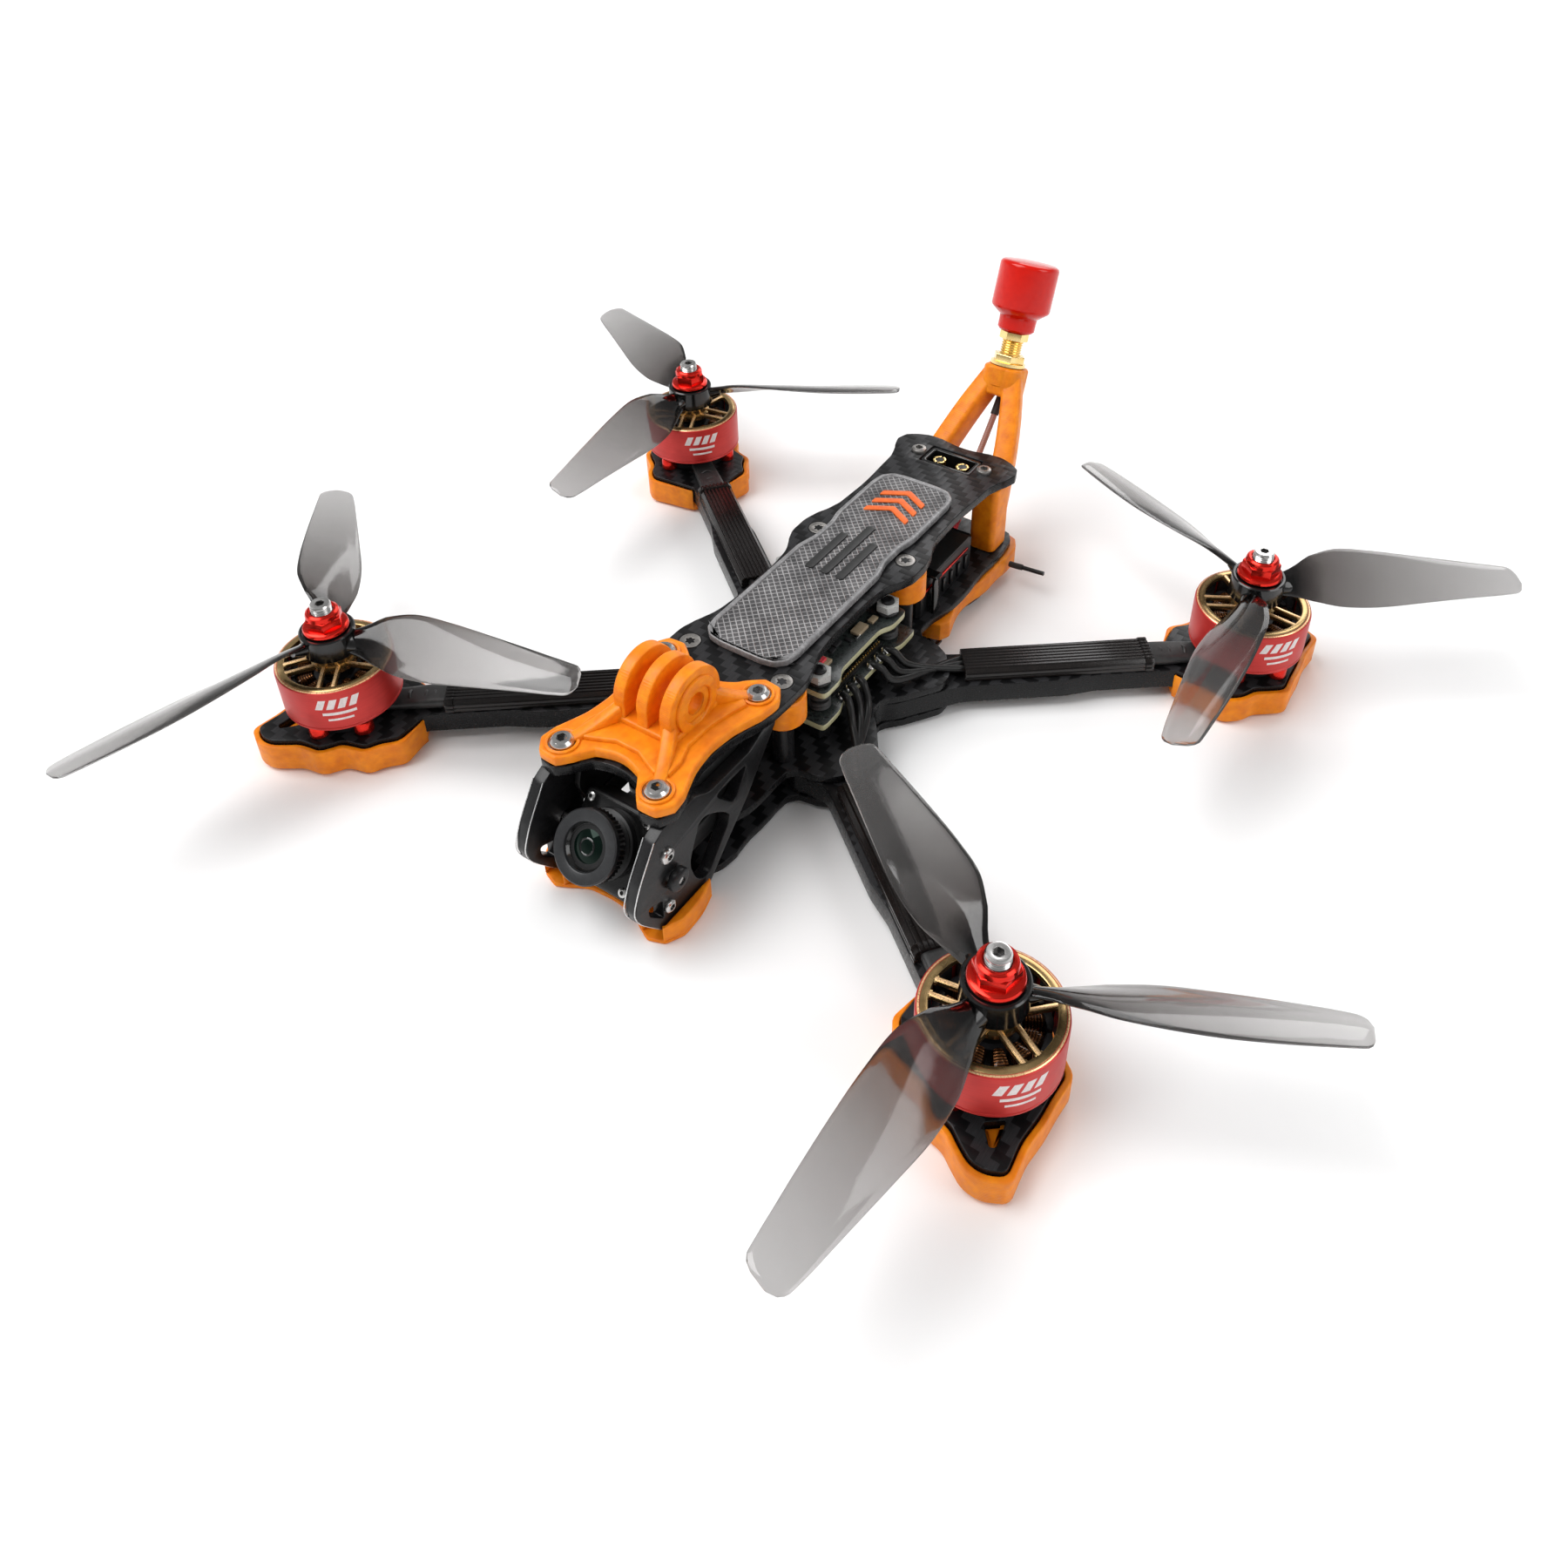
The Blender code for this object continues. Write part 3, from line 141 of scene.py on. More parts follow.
class Graph:
    """A Principled material. Its coordinates x, y and z are those of the piece itself, in millimetres."""

    def __init__(self, name, colour, roughness, metallic=0.0, **sockets):
        self.material = bpy.data.materials.new(name)
        self.material.use_nodes = True
        self.material.diffuse_color = (*colour, 1.0)
        self.tree = self.material.node_tree
        self.shader = self.tree.nodes["Principled BSDF"]
        settings = {"Base_Color": (*colour, 1.0), "Roughness": roughness, "Metallic": metallic, **sockets}
        for key, value in settings.items():
            self.shader.inputs[key.replace("_", " ")].default_value = value
        coordinates = self.node("ShaderNodeTexCoord")
        scale = self.node("ShaderNodeVectorMath", operation="SCALE")
        self.tree.links.new(coordinates.outputs["Object"], scale.inputs[0])
        scale.inputs["Scale"].default_value = 1.0 / MM
        self.place = scale.outputs[0]
        self.x, self.y, self.z = self.split(self.place)
        self.up = abs(self.split(coordinates.outputs["Normal"])[2])

    def node(self, kind, **settings):
        made = self.tree.nodes.new(kind)
        for key, value in settings.items():
            setattr(made, key, value)
        return made

    def split(self, vector):
        made = self.node("ShaderNodeSeparateXYZ")
        self.tree.links.new(vector, made.inputs[0])
        return [Value(self, socket) for socket in made.outputs]

    def put(self, value, socket):
        if isinstance(value, Value):
            self.tree.links.new(value.socket, socket)
        else:
            socket.default_value = (*value, 1.0) if isinstance(value, tuple) else value

    def math(self, operation, *values):
        made = self.node("ShaderNodeMath", operation=operation)
        for value, socket in zip(values, made.inputs):
            self.put(value, socket)
        return Value(self, made.outputs[0])

    def wave(self, value, length):
        """A sine from 0 to 1."""
        return self.math("MULTIPLY_ADD", self.math("SINE", value * (2.0 * pi / length)), 0.5, 0.5)

    def radius(self):
        return self.math("SQRT", self.x ** 2.0 + self.y ** 2.0)

    def saw(self, value):
        """The distance from the middle of each whole step of the value."""
        return abs(self.math("FRACT", value) - 0.5)

    def blend(self, factor, first, second):
        """A colour between two colours, or a number between two numbers."""
        colour = isinstance(first, tuple) or isinstance(first, Value) and first.socket.type == "RGBA"
        made = self.node("ShaderNodeMix", data_type="RGBA" if colour else "FLOAT")
        inputs = [socket for socket in made.inputs if socket.enabled]
        for value, socket in zip((factor, first, second), (inputs[0], *inputs[-2:])):
            self.put(value, socket)
        return Value(self, [socket for socket in made.outputs if socket.enabled][0])

    def noise(self, scale, detail=3.0, stretch=None):
        place = self.place
        if stretch:
            scaled = self.node("ShaderNodeVectorMath", operation="MULTIPLY")
            self.tree.links.new(place, scaled.inputs[0])
            scaled.inputs[1].default_value = stretch
            place = scaled.outputs[0]
        made = self.node("ShaderNodeTexNoise")
        self.tree.links.new(place, made.inputs["Vector"])
        made.inputs["Scale"].default_value = scale
        made.inputs["Detail"].default_value = detail
        return Value(self, made.outputs["Fac"])

    def spread(self, value, low, high, start=0.3, end=0.7):
        """The value's range from start to end, stretched to run from low to high."""
        made = self.node("ShaderNodeMapRange")
        self.put(value, made.inputs["Value"])
        for socket, number in zip(("From Min", "From Max", "To Min", "To Max"), (start, end, low, high)):
            made.inputs[socket].default_value = number
        return Value(self, made.outputs["Result"])

    def surface(self, colour, roughness, height, depth, strength=0.6):
        """Joins the values to the shader. Height runs from 0 to 1 over a depth in millimetres."""
        made = self.node("ShaderNodeBump")
        made.inputs["Strength"].default_value = strength
        made.inputs["Distance"].default_value = depth * MM
        self.put(height, made.inputs["Height"])
        normal = Value(self, made.outputs["Normal"])
        for name, value in (("Base Color", colour), ("Roughness", roughness), ("Normal", normal)):
            self.put(value, self.shader.inputs[name])
        return self.material


def plain(name, dark, light, rough=(0.3, 0.4), metallic=0.0, grain=1.2, stretch=None, depth=0.02, **more):
    """A material whose colour, roughness and surface vary with one grain."""
    g = Graph(name, light, rough[0], metallic, **more)
    coarse = g.noise(grain * 0.16, 2.0)
    fine = g.noise(grain, 4.0, stretch)
    tone = g.spread(coarse * 0.5 + fine * 0.5, 0.0, 1.0)
    return g.surface(g.blend(tone, dark, light), g.spread(fine, *rough), fine, depth)


def turned_material(name, dark, light, rough, metallic):
    """Lathe-turned metal: fine rings along its own axis, with soft patches."""
    g = Graph(name, light, rough[0], metallic)
    rings = g.noise(5.0, 2.0, (0.05, 0.05, 1.0))
    tone = g.spread(rings * 0.5 + g.noise(0.2, 2.0) * 0.5, 0.0, 1.0)
    return g.surface(g.blend(tone, dark, light), g.spread(rings, *rough), rings, 0.012, 0.5)


def carbon_material(tow=2.0, ply=0.5):
    """2x2 twill on the faces, its lighter and darker tows a painted sheen, and glossy black milled edges with
    thin plies.
    """
    g = Graph("carbon_twill", (0.02, 0.02, 0.022), 0.32, Specular_IOR_Level=0.22)
    u, v = g.x / tow, g.y / tow
    step = g.math("FLOOR", u) + g.math("FLOOR", v)
    warp = g.math("FLOORED_MODULO", step, 4.0) < 1.5
    crowns = [1.0 - g.saw(value) ** 2.0 * 4.0 for value in (u, v)]
    fibre = g.blend(warp, g.noise(3.0, 2.0, (0.15, 4.0, 1.0)), g.noise(3.0, 2.0, (4.0, 0.15, 1.0)))
    # Painted sheen: warp and weft tows get different colours for the light they reflect differently.
    weave = g.blend(warp, (0.0035, 0.0035, 0.004), (0.03, 0.03, 0.032))
    weave = g.blend(g.spread(fibre, 0.0, 0.5), weave, (0.004, 0.004, 0.0045))
    face = g.up > 0.7
    line = g.wave(g.z, ply)
    colour = g.blend(face, g.blend(line, (0.003, 0.003, 0.0035), (0.009, 0.009, 0.0095)), weave)
    rough = g.blend(face, g.spread(g.noise(1.5), 0.2, 0.36), g.blend(warp, 0.38, 0.3))
    height = g.blend(face, line * 0.3, g.blend(warp, crowns[1], crowns[0]))
    return g.surface(colour, rough, height, 0.06, 0.45)


def print_material(name, dark, light, layer=0.42):
    """Printed soft plastic with fine layer lines on its sides."""
    g = Graph(name, light, 0.4, Subsurface_Weight=0.12, Subsurface_Scale=0.002, Specular_IOR_Level=0.3)
    line = g.wave(g.math("MULTIPLY_ADD", g.noise(0.5), 0.12, g.z), layer)
    swirl = g.noise(0.9, 3.0, (1.0, 0.25, 1.0))
    tone = g.spread(g.noise(0.35) * 0.7 + swirl * 0.3, 0.0, 1.0)
    height = g.blend(g.up < 0.8, swirl, line)
    return g.surface(g.blend(tone, dark, light), g.spread(swirl, 0.34, 0.52), height, 0.05, 0.5)


def waffle_material(cell=2.0):
    """Grey see-through pad with a pressed diamond pattern, its ridges painted light grey as painted
    highlights over a random cloudy tone.
    """
    g = Graph("pad_waffle", (0.2, 0.2, 0.2), 0.4, IOR=1.45)
    lines = [g.spread(g.saw(along / cell), 0.0, 1.0, 0.28, 0.46) for along in (g.x + g.y, g.x - g.y)]
    ridge = g.math("MAXIMUM", *lines)
    # Painted highlight: the diamond ridges are coloured light grey for the light they catch, mixed with
    # random cloudy tone.
    tone = g.spread((ridge + 0.25) * (g.noise(0.18) * 1.3), 0.0, 1.0, 0.1, 0.95)
    colour = g.blend(tone, (0.035, 0.034, 0.036), (0.46, 0.45, 0.455))
    return g.surface(colour, g.spread(ridge, 0.34, 0.16, 0.0, 1.0), ridge, 0.6, 1.0)


def board_material():
    """Black solder mask with faint tracks, and a pale edge."""
    g = Graph("board_mask", (0.012, 0.014, 0.013), 0.3, Coat_Weight=0.3, Coat_Roughness=0.2)
    cells = g.node("ShaderNodeTexVoronoi", distance="MANHATTAN", feature="F1")
    g.tree.links.new(g.place, cells.inputs["Vector"])
    cells.inputs["Scale"].default_value = 0.7
    track = g.spread(Value(g, cells.outputs["Distance"]), 0.0, 1.0, 0.42, 0.5)
    mask = g.blend(track, (0.008, 0.009, 0.009), (0.022, 0.028, 0.026))
    colour = g.blend(g.up > 0.7, (0.4, 0.38, 0.22), mask)
    return g.surface(colour, g.spread(g.noise(2.0), 0.24, 0.4), track, 0.03, 0.4)


def smoke_material():
    """Tinted clear plastic, darker towards the hub and black at the roots."""
    g = Graph("smoke_blade", (0.4, 0.39, 0.39), 0.09, Transmission_Weight=0.9, IOR=1.46)
    haze = g.math("MULTIPLY_ADD", g.noise(0.12, 2.0), 3.0, g.radius())
    smoke = g.blend(g.spread(haze, 0.0, 1.0, 14.0, 64.0), (0.085, 0.074, 0.07), (0.49, 0.48, 0.475))
    colour = g.blend(g.spread(haze, 0.0, 1.0, 11.0, 18.0), (0.006, 0.005, 0.005), smoke)
    return g.surface(colour, g.spread(g.noise(0.8), 0.06, 0.13), g.noise(0.25, 2.0), 0.05, 0.3)


def winding_material(wire_width=0.6):
    """Enamelled copper wire laid side by side, with painted shade in dark bands between neighbouring wires.
    """
    g = Graph("copper_winding", (0.42, 0.17, 0.06), 0.25, 0.9, Coat_Weight=0.4)
    line = g.wave(g.radius(), wire_width)
    # Painted shade: each wire's colour runs dark at the grooves between the wires.
    colour = g.blend(line, (0.05, 0.018, 0.006), (0.3, 0.12, 0.045))
    return g.surface(colour, g.spread(g.noise(2.0), 0.2, 0.36), line, 0.15, 0.8)


def braid_material():
    """Pinkish brown coaxial cable with a fine woven look."""
    g = Graph("coax_braid", (0.42, 0.2, 0.15), 0.4)
    across = g.x + g.y
    strands = [g.math("SINE", g.math(sign, g.z, across) * 9.0) for sign in ("ADD", "SUBTRACT")]
    weave = g.math("MULTIPLY_ADD", strands[0] * strands[1], 0.5, 0.5)
    colour = g.blend(weave, (0.22, 0.09, 0.07), (0.5, 0.27, 0.21))
    return g.surface(colour, g.spread(weave, 0.32, 0.5, 0.0, 1.0), weave, 0.05, 0.5)


CARBON = carbon_material()
ORANGE = print_material("orange_print_tpu", (0.72, 0.165, 0.002), (0.95, 0.29, 0.004))
WAFFLE = waffle_material()
BOARD = board_material()
SMOKE = smoke_material()
WINDING = winding_material()
BRAID = braid_material()
# Metals
RED = turned_material("red_anodised", (0.44, 0.017, 0.014), (0.58, 0.033, 0.027), (0.32, 0.44), 0.35)
RED_BRIGHT = turned_material("red_anodised_bright", (0.55, 0.012, 0.008), (0.85, 0.035, 0.02), (0.14, 0.24),
                             0.85)
GOLD_FACE = turned_material("brass_face", (0.34, 0.22, 0.09), (0.6, 0.42, 0.2), (0.2, 0.32), 0.95)
STEEL = turned_material("bright_steel", (0.45, 0.44, 0.43), (0.72, 0.71, 0.7), (0.16, 0.3), 1.0)
# Painted highlight: a brighter brass for the spokes' top strips and the bell's top chamfer, where light
# glints.
EDGE_HIGHLIGHT = plain("spoke_painted_highlight", (0.8, 0.48, 0.22), (1.0, 0.68, 0.38), (0.24, 0.34), 0.6, 3.0, depth=0.01)
GOLD = plain("gold_plate", (0.85, 0.58, 0.2), (1.0, 0.78, 0.38), (0.14, 0.24), 1.0, 2.0, depth=0.01)
TITANIUM = plain("titanium_screw", (0.22, 0.21, 0.2), (0.42, 0.4, 0.38), (0.28, 0.42), 0.95, 3.0)
SOLDER = plain("solder", (0.5, 0.5, 0.5), (0.8, 0.8, 0.79), (0.12, 0.3), 1.0, 1.5, depth=0.05)
CHAMFER = plain("bare_edge", (0.5, 0.5, 0.5), (0.8, 0.8, 0.8), (0.2, 0.34), 1.0, 3.0)
MAGNET = plain("magnet", (0.06, 0.06, 0.065), (0.15, 0.15, 0.16), (0.3, 0.45), 0.8, 2.0)
STATOR = plain("stator_lamination", (0.01, 0.01, 0.012), (0.03, 0.03, 0.034), (0.35, 0.5), 0.3, 5.0,
               (1, 1, 6), 0.06)
ANODISED = plain("black_anodised", (0.004, 0.004, 0.0045), (0.011, 0.011, 0.012), (0.26, 0.38), 0.0, 4.0,
                 depth=0.015, Specular_IOR_Level=0.35)
# Plastics, cloth and print
GLOSS_BLACK = plain("gloss_black_plastic", (0.003, 0.003, 0.003), (0.008, 0.008, 0.008), (0.1, 0.2), 0.0, 1.0,
                    Specular_IOR_Level=0.5)
BLACK = plain("black_plastic_grain", (0.005, 0.005, 0.005), (0.013, 0.013, 0.0135), (0.35, 0.5), 0.0, 5.0,
              Specular_IOR_Level=0.35)
COVER = plain("cover_print", (0.004, 0.003, 0.003), (0.012, 0.009, 0.008), (0.16, 0.28), 0.0, 3.0, (1, 1, 3),
              0.04, Specular_IOR_Level=0.4)
RUBBER = plain("rubber", (0.012, 0.012, 0.012), (0.03, 0.03, 0.03), (0.55, 0.7), 0.0, 3.0, depth=0.03)
TAPE = plain("cloth_tape", (0.01, 0.01, 0.01), (0.03, 0.03, 0.03), (0.35, 0.6), 0.0, 3.5, (1.0, 1.0, 0.4),
             0.06)
WIRE = plain("silicone_wire", (0.003, 0.003, 0.003), (0.008, 0.008, 0.008), (0.32, 0.46), 0.0, 2.0,
             Specular_IOR_Level=0.3)
RING_GREY = plain("lens_ring", (0.012, 0.0125, 0.014), (0.024, 0.025, 0.027), (0.34, 0.46), 0.2, 4.0)
GLASS = plain("lens_glass", (0.001, 0.0035, 0.0025), (0.002, 0.007, 0.005), (0.03, 0.06), 0.0, 0.4, depth=0.0,
              Specular_IOR_Level=0.16, Specular_Tint=(0.7, 1.0, 0.85, 1.0))
RADOME = plain("radome_red", (0.56, 0.004, 0.0005), (0.66, 0.008, 0.001), (0.08, 0.14), 0.0, 0.6,
               Specular_IOR_Level=0.35)
NYLON = plain("clear_nylon", (0.5, 0.5, 0.48), (0.72, 0.72, 0.7), (0.25, 0.4), 0.0, 2.0,
              Transmission_Weight=0.45)
PAD_RIM = plain("pad_rim", (0.12, 0.12, 0.122), (0.3, 0.295, 0.3), (0.2, 0.3), 0.0, 1.0)
PRINT_BLACK = plain("print_black", (0.006, 0.006, 0.006), (0.018, 0.018, 0.018), (0.35, 0.5), 0.0, 4.0)
PRINT_ORANGE = plain("print_orange", (0.66, 0.09, 0.006), (0.85, 0.16, 0.012), (0.35, 0.5), 0.0, 4.0)
PRINT_WHITE = plain("print_white", (0.62, 0.55, 0.54), (0.85, 0.8, 0.79), (0.4, 0.55), 0.0, 5.0)
# Parts on the boards, and the floor
CHIP = plain("chip_epoxy", (0.012, 0.012, 0.013), (0.03, 0.03, 0.032), (0.42, 0.6), 0.0, 4.0)
CERAMIC = plain("ceramic_part", (0.3, 0.22, 0.13), (0.5, 0.4, 0.27), (0.4, 0.5), 0.0, 3.0)
RED_PART = plain("red_part", (0.6, 0.03, 0.05), (0.85, 0.1, 0.12), (0.25, 0.35), 0.0, 3.0)
WHITE_PART = plain("white_connector", (0.62, 0.6, 0.55), (0.78, 0.76, 0.7), (0.35, 0.5), 0.0, 3.0)
FLOOR = plain("pale_floor", (0.9, 0.9, 0.9), (0.93, 0.93, 0.93), (0.8, 0.9), 0.0, 0.02, depth=0.0)

# ---- Outlines ----


def polar(radius, turn, x=0.0, y=0.0):
    return x + radius * cos(radians(turn)), y + radius * sin(radians(turn))


def ngon(count, radius, x=0.0, y=0.0, turn=0.0):
    return [polar(radius, turn + 360 * i / count, x, y) for i in range(count)]


def box_outline(half_x, half_y, radius, x=0.0, y=0.0):
    """A rectangle with round corners."""
    out = []
    for sx, sy, start in ((1, 1, 0), (-1, 1, 90), (-1, -1, 180), (1, -1, 270)):
        centre = (x + sx * (half_x - radius), y + sy * (half_y - radius))
        out += [polar(radius, start + 18 * k, *centre) for k in range(6)]
    return out


def pairs(loop):
    return zip(loop, loop[1:] + loop[:1])


def signed_area(loop):
    return sum(a[0] * b[1] - b[0] * a[1] for a, b in pairs(loop)) / 2


def softened(loop, reach=1.2, passes=3):
    """The loop with its corners cut back several times, which turns its short facets into curves."""
    for i in range(passes):
        out = []
        for a, b in pairs(loop):
            a, b = Vector(a), Vector(b)
            length = (b - a).length
            if length < 0.05:
                out.append(tuple((a + b) / 2))
                continue
            step = (b - a) / length * min(0.25 * length, reach / 2 ** i)
            out += [tuple(a + step), tuple(b - step)]
        loop = out
    return loop


def inset(loop, distance):
    """The loop moved inward by distance."""
    turn = 1 if signed_area(loop) > 0 else -1
    out = []
    for before, here, after in zip(loop[-1:] + loop[:-1], loop, loop[1:] + loop[:1]):
        along = (Vector(here) - Vector(before)).normalized() + (Vector(after) - Vector(here)).normalized()
        normal = Vector((-along.y, along.x)) * turn
        out.append(tuple(Vector(here) + normal / max(normal.length, 1e-6) * distance))
    return out


def loops_of(node, axis=2, level=None, upper=True):
    """The outlines of a CAD node's flat faces at one level along an axis, largest first."""
    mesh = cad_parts[node].data
    points = [tuple(round(value / MM, 3) for value in vertex.co) for vertex in mesh.vertices]
    if level is None:
        level = (max if upper else min)(point[axis] for point in points)
    sign = 1 if upper else -1
    edges = {}
    for face in mesh.polygons:
        corners = [points[i] for i in face.vertices]
        if face.normal[axis] * sign > 0.99 and all(abs(point[axis] - level) <= 0.02 for point in corners):
            edges |= dict.fromkeys(pairs(corners))
    follow = {a: b for a, b in edges if (b, a) not in edges}
    loops = []
    while follow:
        start, here = follow.popitem()
        loop = [start]
        while here in follow:
            loop.append(here)
            here = follow.pop(here)
        loops.append([point[:axis] + point[axis + 1:] for point in loop])
    loops = [loop for loop in loops if len(loop) > 2 and abs(signed_area(loop)) > 0.25]
    return sorted(loops, key=lambda loop: abs(signed_area(loop)), reverse=True)

# ---- Meshes ----

STAND_YZ = Matrix(((0, 0, 1, 0), (1, 0, 0, 0), (0, 1, 0, 0), (0, 0, 0, 1)))


def finished(bm, angle=32.0):
    bmesh.ops.remove_doubles(bm, verts=bm.verts, dist=1e-7)
    bmesh.ops.recalc_face_normals(bm, faces=bm.faces)
    mesh = bpy.data.meshes.new("part")
    bm.to_mesh(mesh)
    bm.free()
    mesh.shade_smooth()
    mesh.set_sharp_from_angle(angle=radians(angle))
    return mesh


def prism(outline, low, high, bevel=0.0, holes=(), steps=2):
    """A plate from an outline and its holes, with its edges rounded by bevel."""
    bevel = min(bevel, (high - low) / 2 - 0.01)
    curve = bpy.data.curves.new("outline", "CURVE")
    curve.dimensions = "2D"
    curve.fill_mode = "BOTH"
    curve.extrude = ((high - low) / 2 - bevel) * MM
    curve.bevel_depth = bevel * MM
    curve.bevel_resolution = steps
    curve.offset = -bevel * MM
    for ring in (outline, *holes):
        spline = curve.splines.new("POLY")
        spline.points.add(len(ring) - 1)
        for point, (x, y) in zip(spline.points, ring):
            point.co = (x * MM, y * MM, 0.0, 1.0)
        spline.use_cyclic_u = True
    flat = bpy.data.objects.new("outline", curve)
    bpy.context.scene.collection.objects.link(flat)
    mesh = bpy.data.meshes.new_from_object(flat.evaluated_get(bpy.context.evaluated_depsgraph_get()))
    bpy.data.objects.remove(flat, do_unlink=True)
    bpy.data.curves.remove(curve)
    bm = bmesh.new()
    bm.from_mesh(mesh)
    bpy.data.meshes.remove(mesh)
    bmesh.ops.translate(bm, verts=bm.verts, vec=(0.0, 0.0, (low + high) / 2 * MM))
    return finished(bm)


def upright(outline, low, high, bevel=0.0, holes=()):
    """A plate in the YZ plane between two X values."""
    return placed(prism(outline, low, high, bevel, holes), STAND_YZ)


def skinned(rings, capped=True, angle=32.0):
    """A skin over rings of points. A ring of one point is a pole."""
    bm = bmesh.new()
    rings = [[bm.verts.new(Vector(point) * MM) for point in ring] for ring in rings]
    for a, b in zip(rings, rings[1:]):
        for i in range(max(len(a), len(b))):
            corners = (a[i % len(a)], a[(i + 1) % len(a)], b[(i + 1) % len(b)], b[i % len(b)])
            kept = list(dict.fromkeys(corners))
            if len(kept) > 2:
                bm.faces.new(kept)
    if capped:
        bm.faces.new(rings[0])
        bm.faces.new(rings[-1])
    return finished(bm, angle)


def turned(profile, sides=32):
    """A solid of revolution about Z from (radius, height) points."""
    return skinned([[(*corner, height) for corner in ngon(sides, radius)] if radius else [(0.0, 0.0, height)]
                    for radius, height in profile], capped=False)


def block(low, high, bevel=0.15):
    bm = bmesh.new()
    bmesh.ops.create_cube(bm, size=1.0)
    low, high = Vector(low) * MM, Vector(high) * MM
    bmesh.ops.scale(bm, vec=high - low, verts=bm.verts)
    bmesh.ops.translate(bm, vec=(low + high) / 2, verts=bm.verts)
    reach = min(bevel * MM, min(high - low) * 0.3)
    bmesh.ops.bevel(bm, geom=list(bm.edges), offset=reach, segments=2, affect="EDGES", profile=0.5)
    return finished(bm)


def between(a, b, c, d, t):
    """The place t of the way from b to c on a smooth curve through all four."""
    return 0.5 * (2 * b + (c - a) * t + (2 * a - 5 * b + 4 * c - d) * t ** 2
                  + (3 * b - a - 3 * c + d) * t ** 3)


def smooth_path(points, steps):
    points = [Vector(point) for point in points]
    padded = [2 * points[0] - points[1], *points, 2 * points[-1] - points[-2]]
    spans = zip(padded, padded[1:], padded[2:], padded[3:])
    return [*(between(*span, k / steps) for span in spans for k in range(steps)), points[-1]]


def swept(points, sizes, sides=16, power=2.0, steps=5):
    """A bar along a smooth path. sizes has (half width, half height) at each point. More power squares it."""
    path = smooth_path(points, steps)
    spread = smooth_path([(*size, 0.0) for size in sizes], steps)
    rings = []
    side = None
    for i, here in enumerate(path):
        ahead = (path[min(i + 1, len(path) - 1)] - path[max(i - 1, 0)]).normalized()
        if side is None:
            side = ahead.cross(Vector((0, 0, 1)) if abs(ahead.z) < 0.9 else Vector((0, 1, 0)))
        side = (side - ahead * side.dot(ahead)).normalized()
        rise = side.cross(ahead)
        ring = []
        for c, s in ngon(sides, 1.0):
            u = abs(c) ** (2 / power) * (1 if c >= 0 else -1) * spread[i].x
            v = abs(s) ** (2 / power) * (1 if s >= 0 else -1) * spread[i].y
            ring.append(here + side * u + rise * v)
        rings.append(ring)
    return skinned(rings, angle=40.0)


def wire(points, radius, sides=10, steps=6):
    return swept(points, [(radius, radius)] * len(points), sides, 2.0, steps)


def placed(mesh, *matrices):
    for matrix in matrices:
        mesh.transform(matrix)
        if matrix.determinant() < 0:
            mesh.flip_normals()
    return mesh


def shift(x, y, z=0.0):
    return Matrix.Translation(Vector((x, y, z)) * MM)


def spun(turn, axis="Z"):
    return Matrix.Rotation(radians(turn), 4, axis)


def clad(material, *meshes):
    """The parts of a piece are (mesh, material) pairs."""
    return [(mesh, material) for mesh in meshes]


def moved(parts, *matrices):
    return [(placed(mesh, *matrices), material) for mesh, material in parts]


def piece(name, parts, body="frame", replaces=(), at=None):
    """One object from its parts. Each mesh in them is used up."""
    bm = bmesh.new()
    materials = list(dict.fromkeys(material for mesh, material in parts))
    for mesh, material in parts:
        before = len(bm.faces)
        bm.from_mesh(mesh)
        bm.faces.ensure_lookup_table()
        for face in bm.faces[before:]:
            face.material_index = materials.index(material)
        bpy.data.meshes.remove(mesh)
    whole = bpy.data.meshes.new("joined")
    bm.to_mesh(whole)
    bm.free()
    for material in materials:
        whole.materials.append(material)
    obj = bpy.data.objects.new(name, whole)
    bpy.context.scene.collection.objects.link(obj)
    if at is not None:
        obj.location = at
    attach(obj, body)
    if replaces:
        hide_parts(*replaces)


def finish_node(node, material):
    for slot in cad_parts[node].material_slots:
        slot.material = material


def towards(corner):
    """The turn from +X to an arm's own direction."""
    sx, sy = CORNERS[corner]
    return Matrix.Rotation(atan2(-sy * MOTOR.y, sx * MOTOR.x), 4, "Z")


# ---- Screws, with the head's top or the plate's face at z = 0 ----


def socket_head(radius, height, hexagon, depth=1.0, dome=0.35, look=STEEL):
    """A screw head with a hexagonal socket, sunk from its top, and a gloss black disc on the socket's floor
    as painted shade.
    """
    crown = [(hexagon * 1.2, 0.0), (radius * 0.72, -0.05), (radius * 0.94, -dome), (radius, -dome - 0.35),
             (radius, -height), (0.0, -height)]
    floor = -depth * 0.75
    # Painted shade: a gloss black disc at the bottom of the socket.
    bottom = turned([(0.0, floor), (hexagon * 1.1, floor), (hexagon * 1.1, floor - 0.1)], 12)
    walls = prism(ngon(28, hexagon * 1.22), -depth, 0.0, 0.0, [ngon(6, hexagon)])
    return clad(look, turned(crown, 28), walls) + clad(GLOSS_BLACK, bottom)


